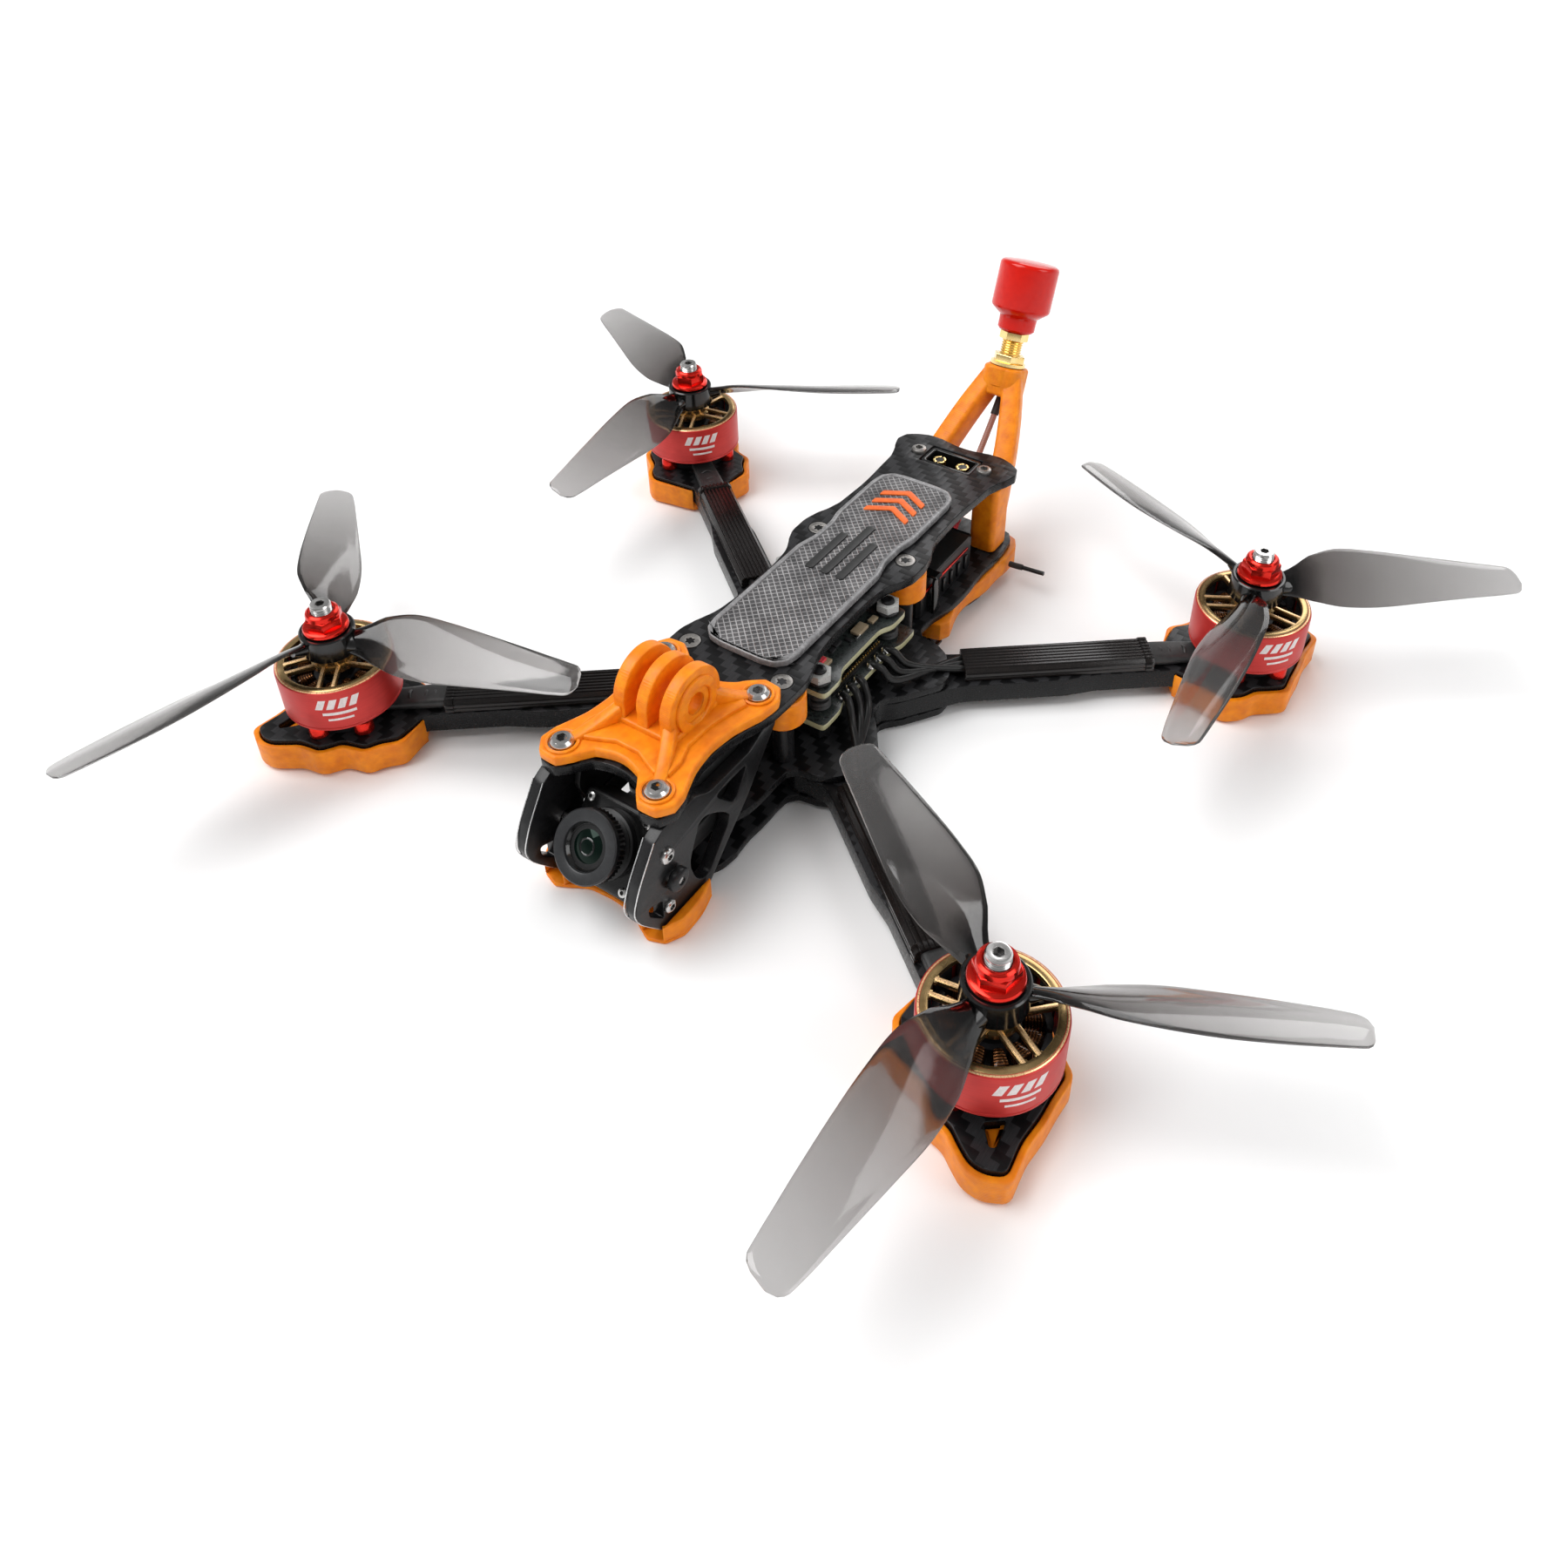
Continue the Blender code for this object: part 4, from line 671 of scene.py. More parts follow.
def star_screw(radius=2.5):
    """A countersunk head with a six-lobed socket, flush with its plate, with a gloss black disc under the
    socket and a thin dark ring round the head, both painted shade.
    """
    lobes = [polar(1.05 + 0.22 * cos(radians(60 * i)), 10 * i) for i in range(36)]
    ring = [(radius + 0.28, 0.02), (radius + 0.28, 0.06), (radius + 0.02, 0.06), (radius + 0.02, 0.02),
            (radius + 0.28, 0.02)]
    head = prism(ngon(32, radius), -0.7, 0.12, 0.1, [lobes])
    # Painted shade: the gloss black disc fills the socket's floor and the thin ring darkens the seam round
    # the head.
    return clad(TITANIUM, head) + clad(GLOSS_BLACK, prism(ngon(24, 1.5), -1.0, -0.65), turned(ring))


# ---- Plates and arms ----


def make_plate(node, soft, bevel):
    outer, *inner = loops_of(node)
    holes = [softened(ring, 0.3, 2) for ring in inner]
    mesh = prism(softened(outer, soft, 2), *height_of(node), bevel, holes)
    piece(f"{node}_carbon", clad(CARBON, mesh), replaces=[node])


def make_plates():
    for node in ("bottom_plate", "mid_plate", "top_plate"):
        make_plate(node, 0.7, 0.22)
    for corner in CORNERS:
        make_plate(f"arm_{corner}", 0.6, 0.25)


def make_guards():
    """The guards' floors and walls, and a boss that fills the window at each arm's tip."""
    for corner in CORNERS:
        node = f"arm_guard_{corner}"
        wall, base = (softened(loops_of(node, upper=upper)[0], 0.9, 2) for upper in (True, False))
        window = max(loops_of(f"arm_{corner}")[1:], key=lambda ring: abs(sum(x for x, y in ring)) / len(ring))
        boss = prism(inset(softened(window, 0.3, 2), 0.3), GUARD_LOW + 1.0, ARM_TOP - 1.6, 0.5)
        wall = prism(wall, GUARD_LOW + 0.9, GUARD_TOP, 0.3)
        base = prism(inset(base, 0.25), GUARD_LOW, ARM_LOW - 0.3, 1.2, steps=4)
        piece(f"{node}_print", clad(ORANGE, boss, wall, base), replaces=[node])


def make_bumpers():
    node = "front_bumper"
    low, high = height_of(node)
    tops = [prism(softened(ring, 1.4), low + 1.0, high, 0.45, steps=3)
            for ring in loops_of(node) if len(ring) > 3]
    base, *rooms = loops_of(node, upper=False)
    floor = prism(softened(base, 1.6), low, BOTTOM_LOW - 0.02, 0.45,
                  [softened(room, 0.5, 2) for room in rooms])
    piece(f"{node}_print", clad(ORANGE, *tops, floor), replaces=[node])
    node = "rear_bumper"
    outer, *inner = loops_of(node)
    mesh = prism(softened(outer, 1.6), *height_of(node), 0.5, [softened(ring, 0.6, 2) for ring in inner], 3)
    piece(f"{node}_print", clad(ORANGE, mesh), replaces=[node])


def make_wire_covers():
    """Ribbed printed covers: one section along each arm, with a slightly larger lip at the motor's end."""
    start, end, half, ribs = 40.5, 88.0, 4.8, 7
    height = COVER_TOP - COVER_LOW
    rib = (2 * half - 1.8) / ribs
    top = []
    for i in range(ribs):
        left = -half + 0.9 + i * rib
        for along, z in ((0.12, height - 0.32), (0.3, height), (0.8, height), (0.95, height - 0.32)):
            top.append((left + rib * along, z))
    side = [(half, 0.0), (half, 0.7), (half - 0.3, 0.95), (half, 1.2), (half, 1.9), (half - 0.3, 2.15),
            (half, 2.4), (half - 0.25, height - 0.7), (half - 0.8, height - 0.15)]
    section = [(-half, 0.0), *side, *reversed(top), *((-x, z) for x, z in reversed(side[1:]))]
    for corner in CORNERS:
        body = placed(prism(section, start, end, 0.12, steps=1), STAND_YZ)
        lip = placed(prism(section, end - 1.6, end + 0.5, 0.1, steps=1), STAND_YZ,
                     Matrix.Diagonal((1.0, 1.05, 1.06, 1.0)))
        parts = moved(clad(COVER, body, lip), shift(0, 0, COVER_LOW), towards(corner))
        piece(f"wire_cover_{corner}_ribbed", parts, replaces=[f"wire_cover_{corner}"])


def make_motor_leads():
    """Taped leads from each cover's end to the bell, and three wires from the board into the cover."""
    low = ARM_TOP + 0.25
    for corner, (sx, sy) in CORNERS.items():
        angle = towards(corner)
        tape = [swept([(84.0, 0, low + 1.5), (92.0, 0, low + 1.45), (98.0, 0, low + 1.3),
                       (104.0, 0, low + 1.2)],
                      [(3.6, 1.45), (3.6, 1.4), (3.4, 1.2), (3.2, 1.1)], 20, 4.0)]
        for x, lean in ((90.5, 0.8), (94.0, -0.6), (97.0, 0.5)):
            fold = [(x, -3.4, low + 1.5), (x + lean, 0, low + 2.9), (x, 3.4, low + 1.5)]
            tape.append(swept(fold, [(0.35, 0.12)] * 3, 8, 2.0, 6))
        parts = moved(clad(TAPE, *tape), angle)
        for k, pad in enumerate(MOTOR_PADS):
            inside = [tuple(angle @ Vector((x, (1.9 - 1.9 * k) * sx * sy, COVER_LOW + 1.7)))
                      for x in (40.0, 44.0)]
            route = [(sx * PAD_X, sy * pad, ESC_LOW + 2.3),
                     (sx * (PAD_X + 2.4), sy * (pad + 0.8), ESC_LOW + 1.5),
                     (sx * (PAD_X + 5.6), sy * (pad + 4.4 - 0.3 * k), ESC_LOW - 3.4), *inside]
            parts += clad(WIRE, wire(route, 0.95, 12, 7))
        piece(f"motor_leads_{corner}", parts)


def make_plate_screws():
    parts = []
    for sx in SIDES.values():
        for x, y in ((DECK_X, 0.1 - DECK_Y), (DECK_X + 0.05, DECK_Y + 0.1)):
            parts += moved(star_screw(), shift(sx * x, y, TOP_TOP))
        parts += moved(socket_head(2.1, 0.9, 1.1, 0.8, 0.25, TITANIUM),
                       shift(sx * TAIL_X, TAIL_Y, TOP_TOP + 0.9))
    piece("plate_screws", parts)


def make_standoffs():
    places = {f"standoff_{corner}": (sx * DECK_X, sy * DECK_Y, 2.5) for corner, (sx, sy) in CORNERS.items()}
    places |= {f"standoff_tail_{name}": (side * TAIL_X, TAIL_Y, 2.25) for name, side in SIDES.items()}
    for node, (x, y, radius) in places.items():
        low, high = height_of(node)
        body = turned([(0.0, high), (radius - 0.3, high), (radius, high - 0.3), (radius, low + 0.3),
                       (radius - 0.3, low), (0.0, low)], 24)
        piece(f"{node}_turned", clad(ANODISED, placed(body, shift(x, y))),
              replaces=[node])
    top, bottom = TOP_LOW - 0.25, 23.0
    for corner, (sx, sy) in CORNERS.items():
        sleeve = turned([(2.6, top), (5.2, top), (5.6, top - 0.45), (5.6, bottom + 0.8), (4.9, bottom),
                         (2.6, bottom), (2.6, top)], 28)
        parts = clad(ORANGE, placed(sleeve, shift(sx * DECK_X, sy * DECK_Y)))
        piece(f"standoff_sleeve_{corner}", parts)


# ---- Camera ----


def make_camera_cage():
    for name, side in SIDES.items():
        node = f"camera_plate_{name}"
        low, high = (corner.x for corner in box_of(node))
        outer, *inner = loops_of(node, axis=0)
        holes = [softened(ring, 0.5, 2) for ring in inner]
        parts = clad(ANODISED, upright(softened(outer, 0.45, 2), low, high, 0.2, holes))
        for x in (low + 0.12, high - 0.12):
            edge = [(x, y + 0.12, z) for y, z in ((-76.6, 29.4), (-83.0, 19.6), (-84.0, 13.0), (-76.6, 2.6))]
            parts += clad(CHAMFER, wire(edge, 0.13, 8))
        out = high + 1.1 if side > 0 else low - 1.1
        for y, z, radius in ((-73.5, 23.1, 1.9), (-74.4, 8.6, 1.6)):
            parts += moved(socket_head(radius, 1.2, 0.8), spun(90 * side, "Y"), shift(out, y, z))
        piece(f"{node}_milled", parts, replaces=[node])


def make_camera_brackets():
    """Black holders inside the cage plates, behind the camera."""
    cheek = [(-65.6, 14.0), (-68.6, 22.6), (-66.0, 30.2), (-44.0, 30.2), (-43.0, 26.0), (-49.4, 12.2),
             (-53.6, 10.9), (-62.6, 10.9)]
    slot = [(-61.4, 16.4), (-60.6, 19.6), (-55.4, 19.6), (-54.6, 16.4)]
    for name, side in SIDES.items():
        inner, outer = sorted((side * 11.6, side * 13.2))
        parts = clad(BLACK, upright(softened(cheek, 0.8, 2), inner, outer, 0.25, [slot]),
                     upright(inset(cheek, 0.4), inner + 0.6, outer - 0.6))
        for y in (-62.4, -52.8):
            parts += moved(socket_head(1.5, 1.0, 0.75, 0.7, 0.2), spun(-90 * side, "Y"),
                           shift(side * 10.7, y, 24.4))
        piece(f"camera_bracket_{name}", parts)


def make_camera():
    pose = (spun(90.0, "X"), Matrix.Translation(CAMERA_PIVOT * MM) @ spun(-38.0, "X"))
    parts = clad(BLACK, prism(box_outline(9.5, 9.5, 1.6), -5.5, 2.0, 0.7, steps=3))
    parts += clad(GLOSS_BLACK, prism(box_outline(8.9, 8.9, 1.4), 2.0, 2.25, 0.1))
    for x in (-7.6, 7.6):
        for y in (-7.6, 7.6):
            parts += moved(socket_head(1.1, 0.5, 0.5, 0.4, 0.15), shift(x, y, 2.6))
    piece("camera_case", moved(parts, *pose), "camera", ["camera_body"])
    front, teeth = 10.4, 96
    ring = turned([(4.9, front - 1.6), (5.3, front - 0.15), (5.6, front), (7.7, front), (8.0, front - 0.3),
                   (8.0, front - 1.4), (7.6, front - 1.7)], 56)
    knurl = prism([polar(7.95 if i % 2 else 7.55, 360 * i / teeth) for i in range(teeth)],
                  front - 3.6, front - 1.5)
    neck = turned([(7.1, front - 3.4), (7.1, 4.2), (7.7, 3.9), (7.7, 2.3), (0.0, 2.3)], 40)
    thread = [turned([(7.1, z + 0.35), (7.4, z + 0.17), (7.1, z)], 40) for z in (4.6, 5.1, 5.6, 6.1)]
    glass = turned([(0.0, front - 0.9), (1.2, front - 0.97), (2.4, front - 1.16), (3.6, front - 1.5),
                    (4.6, front - 1.95)], 40)
    iris = turned([(1.5, front - 1.0), (1.7, front - 0.9), (1.95, front - 1.02)], 40)
    inner = turned([(5.3, front - 0.5), (4.7, front - 1.4), (4.5, front - 1.4), (4.5, front - 2.2)], 40)
    parts = clad(RING_GREY, ring) + clad(GLASS, glass) + clad(GLOSS_BLACK, iris, inner)
    parts += clad(BLACK, knurl, neck, *thread)
    piece("camera_lens_turned", moved(parts, *pose), "camera", ["camera_lens"])
    for name, side in SIDES.items():
        node = f"camera_screw_{name}"
        out = box_of(node)[side > 0].x
        shank = placed(turned([(0.0, 0.0), (1.5, 0.0), (1.5, 8.6), (0.0, 8.6)], 16), shift(0, 0, -8.9))
        parts = clad(STEEL, shank) + socket_head(2.8, 1.7, 1.1, 1.1, look=ANODISED)
        parts = moved(parts, spun(90.0 * side, "Y"), shift(out, CAMERA_PIVOT.y, CAMERA_PIVOT.z))
        piece(f"{node}_turned", parts, "camera", [node])


# ---- Action camera mount ----

MOUNT_SCREWS = [(side * x, y) for side in SIDES.values() for x, y in ((12.75, -70.2), (13.1, -36.0))]


def make_action_mount():
    """Three prongs on a saddle, with a terrace and four ribs down to the screws."""
    node = "action_camera_mount"
    low = height_of(node)[0]
    top = low + 2.7
    middle, axis, radius = -50.5, 42.5, 8.6
    parts = [prism(softened(loops_of(node, upper=False)[0], 1.8), low, top, 0.7, steps=3)]
    prong = [*(polar(radius, 10 * i, middle, axis) for i in range(-1, 20)),
             (middle - radius - 0.2, top + 2.0), (middle - radius - 1.6, top - 0.6),
             (middle + radius + 1.6, top - 0.6), (middle + radius + 0.2, top + 2.0)]
    for x in (-6.2, 0.0, 6.2):
        parts.append(upright(softened(prong, 0.8, 2), x - 1.5, x + 1.5, 0.35, [ngon(28, 2.6, middle, axis)]))
    terrace = [(3.0, -64.4), (7.4, -66.4), (9.4, -67.2), (12.4, -65.8), (12.4, -62.0), (10.6, -57.0),
               (10.8, -49.6), (12.0, -44.4), (13.4, -40.4), (10.6, -38.6), (8.0, -38.0), (4.4, -40.2)]
    terrace += [(-x, y) for x, y in reversed(terrace)]
    parts.append(prism(terrace, top - 0.8, top + 1.1, 0.45))
    parts.append(prism(box_outline(8.4, 9.2, 1.6, 0.0, middle), top - 0.6, top + 2.4, 0.6, steps=3))
    boss = turned([(2.7, 0.0), (6.3, 0.0), (6.6, 0.3), (6.5, 0.9), (6.1, 1.1), (4.6, 1.1), (4.3, 0.8),
                   (4.3, 0.35), (2.7, 0.3)])
    parts.append(placed(boss, spun(90, "Y"), shift(7.5, middle, axis)))
    for sx in SIDES.values():
        for foot_y, root_y in ((-70.2, -58.0), (-36.0, -44.0)):
            rib = [(sx * 6.6, root_y, top + 2.6), (sx * 9.8, (foot_y + root_y) / 2, top + 0.5),
                   (sx * 12.6, foot_y, top - 0.3)]
            parts.append(swept(rib, [(1.6, 2.3), (1.5, 1.5), (1.3, 0.7)], 16, 5.0, 3))
    for place in MOUNT_SCREWS:
        cup = turned([(3.05, top - 0.1), (3.7, top + 0.1), (3.7, top + 0.5), (3.3, top + 0.7),
                      (3.05, top + 0.5), (3.05, top - 0.1)], 28)
        parts.append(placed(cup, shift(*place)))
    piece("action_mount_print", clad(ORANGE, *parts), replaces=[node])
    screws = []
    for place in MOUNT_SCREWS:
        washer = turned([(0.0, top + 0.05), (2.95, top + 0.05), (2.95, top - 0.4)], 24)
        screws += moved(socket_head(2.75, 1.9, 1.25, 1.2, 0.6), shift(*place, top + 1.5))
        screws += clad(TITANIUM, placed(washer, shift(*place)))
    piece("action_mount_screws", screws)


# ---- Antenna mast ----

HUB_FRAME = shift(0.0, 105.0, 46.0) @ spun(-20.0, "X") @ shift(0.0, 0.0, 3.0)


def make_antenna_mount():
    low, high = height_of("standoff_tail_left")
    ring = turned([(3.3, 0.0), (5.2, 0.0), (5.8, -0.6), (5.8, -5.4), (5.2, -6.0), (3.3, -6.0), (3.3, 0.0)],
                  36)
    collar = prism(box_outline(5.7, 5.5, 3.4), -8.4, -0.1, 0.9, [ngon(24, 3.4)], 3)
    parts = moved(clad(ORANGE, ring, collar), HUB_FRAME)
    for side in SIDES.values():
        x = side * 12.85
        hole = ngon(24, 2.4, side * TAIL_X, TAIL_Y)
        column = prism(box_outline(3.9, 4.4, 1.8, x, TAIL_Y), low, high, 0.4, [hole])
        leg = [(x, 74.7, 15.0), (side * 11.2, 82.0, 22.6), (side * 9.0, 90.0, 30.4), (side * 6.2, 97.4, 38.2),
               (side * 3.0, 104.2, 45.6)]
        sizes = [(3.5, 3.7), (3.3, 3.6), (3.1, 3.6), (3.0, 3.6), (2.8, 3.5)]
        parts += clad(ORANGE, column, swept(leg, sizes, 24, 5.0, 8))
    piece("antenna_mount_print", parts, replaces=["antenna_mount"])


def make_antenna():
    nut = prism(ngon(6, 4.7), 1.2, 3.4, 0.25)
    crimp = prism(ngon(6, 4.1, turn=degrees(0.4)), 7.6, 10.0, 0.25)
    collar = turned([(0.0, 1.4), (5.0, 1.2), (5.0, 0.3), (2.6, 0.3), (2.6, -5.4), (0.0, -5.4)], 28)
    barrel = [(3.1, 3.4)]
    for i in range(6):
        barrel += [(3.1, 3.6 + 0.72 * i), (2.65, 3.96 + 0.72 * i)]
    barrel += [(3.1, 8.0), (3.1, 10.0), (0.0, 10.0)]
    parts = moved(clad(GOLD, nut, crimp, collar, turned(barrel, 28)), HUB_FRAME)
    piece("sma_connector_turned", parts, replaces=["sma_connector"])
    base = 10.3
    top = base + 19.5
    shell = turned([
        (0.0, top + 0.45), (3.6, top + 0.35), (6.6, top + 0.1), (7.5, top - 0.05), (8.05, top - 0.35),
        (8.35, top - 0.85), (8.4, top - 1.4), (8.4, base + 7.0), (8.3, base + 6.5), (8.0, base + 6.1),
        (6.0, base + 4.5), (5.5, base + 4.2), (5.35, base + 3.7),
    ], 64)
    neck = turned([(5.35, base + 3.9), (5.3, base + 0.6), (4.8, base), (3.2, base)], 40)
    parts = moved(clad(RADOME, shell, neck), HUB_FRAME)
    piece("antenna_radome_moulded", parts, replaces=["antenna_radome"])


def make_cables():
    ends = [tuple(HUB_FRAME @ Vector((0.0, 0.0, z * MM)) / MM) for z in (-11.0, -5.7)]
    route = [(0.0, 62.8, 16.0), (0.0, 66.5, 15.6), (0.0, 74.0, 15.4), (0.0, 82.0, 18.0), (0.0, 90.0, 25.0),
             *ends]
    last = smooth_path(route, 8)[-11:-1]
    sleeve = wire(last[::3] + last[-1:], 1.2, 16, 4)
    parts = clad(BRAID, wire(route, 0.9, 14, 10)) + clad(RUBBER, sleeve)
    piece("coax_cable_braided", parts, replaces=["coax_cable"])
    node = "receiver_antenna"
    start, end = (corner.x for corner in box_of(node))
    y = middle_of(node).y
    whisker = wire([(start, y + 0.1, 6.0), (24.0, y, 6.3), (end, y - 0.1, 6.9)], 0.62, 12)
    sleeve = wire([(start, y + 0.1, 6.0), (22.0, y, 6.1), (24.5, y, 6.35)], 0.85, 12, 4)
    piece("receiver_antenna_wire", clad(WIRE, whisker) + clad(RUBBER, sleeve), replaces=[node])


def make_zip_tie():
    """A cable tie round the tail, with its lock at the side."""
    high = box_of("video_transmitter")[1]
    half, top, low, y = high.x + 1.2, high.z + 1.3, BOTTOM_LOW - 0.5, 39.5
    ring = [(-half, y, low), (half, y, low), (half + 0.4, y, low + 2), (half + 0.2, y, top - 2),
            (half - 1.4, y, top),
            (1.4 - half, y, top), (-half - 0.2, y, top - 2), (-half - 0.4, y, low + 2), (-half, y, low)]
    band = swept(ring, [(1.5, 0.5)] * len(ring), 12, 4.0, 4)
    lock = block((-half - 2.3, y - 2.6, top - 6.4), (0.3 - half, y + 2.6, top - 2.6), 0.4)
    piece("cable_tie", clad(GLOSS_BLACK, band, lock))


def make_battery_pad():
    """A grip pad with three black bars and three orange chevrons pressed into it."""
    outline = softened(loops_of("battery_pad")[0], 0.6, 2)
    inner = inset(outline, 1.3)
    parts = clad(PAD_RIM, prism(outline, PAD_LOW, PAD_TOP, 0.35, [inner]))
    parts += clad(WAFFLE, prism(inner, PAD_LOW, PAD_TOP - 0.35))
    mark = (PAD_TOP - 0.4, PAD_TOP + 0.05, 0.12)
    for length, x, y in ((17.0, -4.4, 18.0), (23.0, 0.0, 21.0), (17.0, 4.4, 18.0)):
        parts += clad(PRINT_BLACK, prism(box_outline(1.15, length / 2, 0.8, x, y), *mark))
    for y in (41.0, 45.2, 49.4):
        chevron = [(-6.4, y - 3.0), (0.0, y + 0.6), (6.4, y - 3.0), (6.4, y - 0.9), (0.0, y + 2.7),
                   (-6.4, y - 0.9)]
        parts += clad(PRINT_ORANGE, prism(softened(chevron, 0.3, 2), *mark))
    piece("battery_pad_pressed", parts, replaces=["battery_pad"])


# ---- Electronics ----

MOTOR_PADS = (3.0, 6.4, 9.8)
PAD_X = 18.0
HEADER_X = 15.6


def chip(x, y, half_x, half_y, low, height, bevel):
    return block((x - half_x, y - half_y, low), (x + half_x, y + half_y, low + height), bevel)


def scattered_parts(rng, count, top):
    """Small parts at random places, clear of the posts and the middle."""
    parts = []
    for _ in range(count):
        x, y = rng.uniform(-14.5, 14.5), rng.uniform(-14.5, 14.5)
        if hypot(abs(x) - STACK_HALF, abs(y) - STACK_HALF) < 4.5 or (abs(x) < 6 and abs(y) < 6):
            continue
        w, d, h = rng.choice(((0.5, 0.9, 0.5), (0.9, 0.5, 0.5), (0.8, 1.3, 0.7), (1.5, 1.5, 0.8),
                              (1.3, 2.2, 0.9)))
        look = rng.choice((CHIP, CERAMIC, CHIP, SOLDER, CERAMIC, CHIP))
        parts += clad(look, chip(x, y, w, d, top, h, 0.1))
    return parts


def controller_parts(top):
    """The processor with its legs, a red part, the USB socket and a white connector."""
    parts = clad(CHIP, chip(0, 0, 5, 5, top, 1.2, 0.2))
    for k in range(12):
        along = -4.4 + 0.8 * k
        for side in (-5.55, 5.55):
            parts += clad(SOLDER, chip(along, side, 0.15, 0.65, top, 0.3, 0.05),
                          chip(side, along, 0.65, 0.15, top, 0.3, 0.05))
    parts += clad(RED_PART, chip(11.0, -9.8, 2.0, 1.2, top, 1.6, 0.2))
    parts += clad(SOLDER, chip(0.0, 15.2, 4.0, 3.2, top, 2.4, 0.4))
    return parts + clad(WHITE_PART, chip(-14.75, 0.75, 2.25, 3.75, top, 2.2, 0.3))


def driver_parts(top):
    """Solder on the motor pads, two rows of header pins and a row of capacitors."""
    parts = []
    for sx in SIDES.values():
        for y in (*MOTOR_PADS, *(-pad for pad in MOTOR_PADS)):
            blob = turned([(0, 1.3), (0.8, 1.1), (1.25, 0.5), (1.35, 0.0)], 16)
            parts += clad(SOLDER, placed(blob, shift(sx * PAD_X, y, top)))
        parts += clad(GOLD, *(chip(sx * HEADER_X, k - 10.5, 0.28, 0.28, top, 1.6, 0.1) for k in range(22)))
        parts += clad(BLACK, chip(sx * HEADER_X, 0.0, 0.75, 11.2, top, 0.9, 0.1))
    return parts + clad(CERAMIC, *(chip(2.0 * k - 7.0, -19.1, 0.6, 1.1, top, 1.5, 0.15) for k in range(8)))


def make_boards():
    rng = random.Random(7)
    for node, count, extras in (("esc_board", 34, driver_parts), ("flight_controller", 46, controller_parts)):
        low = height_of(node)[0]
        top = low + BOARD_THICK
        outer, *inner = loops_of(node, level=round(top, 3))
        holes = [softened(ring, 0.3, 2) for ring in inner if len(ring) > 5]
        parts = clad(BOARD, prism(softened(outer, 0.8), low, top, 0.08, holes, 1))
        parts += scattered_parts(rng, count, top) + extras(top)
        piece(f"{node}_populated", parts, replaces=[node])


def make_stack_posts():
    """Bolts with a spacer, a rubber grommet on each side of the boards and a clear nut."""
    for corner, (sx, sy) in CORNERS.items():
        node = f"stack_post_{corner}"
        low, top = height_of(node)
        shank = turned([(0, top), (1.45, top), (1.45, low), (0, low)], 16)
        spacer = turned([(1.5, ESC_LOW - 0.3), (2.8, ESC_LOW - 0.5), (2.8, MID_TOP + 0.4),
                         (1.5, MID_TOP + 0.2)], 6)
        upper = FC_LOW + BOARD_THICK
        grommets = []
        for level, high in ((ESC_LOW + BOARD_THICK, ESC_LOW + BOARD_THICK + 2.2),
                            (FC_LOW - 2.6, FC_LOW - 0.4), (upper, min(upper + 2.3, top - 2.6))):
            ring = [(1.5, high), (2.3, high), (2.75, high - 0.5), (2.3, (high + level) / 2),
                    (2.75, level + 0.6), (2.3, level + 0.1), (1.5, level + 0.1)]
            grommets.append(turned(ring, 24))
        parts = clad(ANODISED, shank, spacer) + clad(RUBBER, *grommets)
        parts += clad(NYLON, prism(ngon(6, 3.1), top - 2.6, top - 0.5, 0.25, [ngon(16, 1.5)]))
        parts += moved(socket_head(1.7, 1.1, 0.85, 0.8, 0.2, ANODISED), shift(0, 0, top + 0.2))
        parts = moved(parts, shift(sx * STACK_HALF, sy * STACK_HALF))
        piece(f"{node}_detailed", parts, replaces=[node])


def make_transmitter():
    """Trim on the transmitter's block: a lid, a red line, cooling fins and the antenna's socket."""
    finish_node("video_transmitter", ANODISED)
    low, high = box_of("video_transmitter")
    parts = clad(BLACK, block((low.x - 0.15, low.y + 2.0, high.z + 0.2),
                              (high.x + 0.15, high.y - 2.0, high.z + 0.9),
                              0.2))
    for side in (low.x - 0.05, high.x + 0.05):
        line = block((side - 0.25, low.y + 3.0, high.z - 3.2), (side + 0.25, high.y - 3.0, high.z - 2.4), 0.1)
        parts += clad(RED_BRIGHT, line)
        for k in range(6):
            y = low.y + 4.2 + 4.0 * k
            fin = block((side - 0.5, y, low.z + 1.4), (side + 0.5, y + 1.4, high.z - 4.4), 0.15)
            parts += clad(ANODISED, fin)
    socket = turned([(0.0, 2.6), (1.3, 2.6), (1.3, 0.4), (2.2, 0.4), (2.2, 0.0), (0.0, 0.0)], 20)
    parts += clad(GOLD, placed(socket, spun(-90, "X"), shift(0.0, high.y - 0.3, 16.0)))
    piece("transmitter_trim", parts)


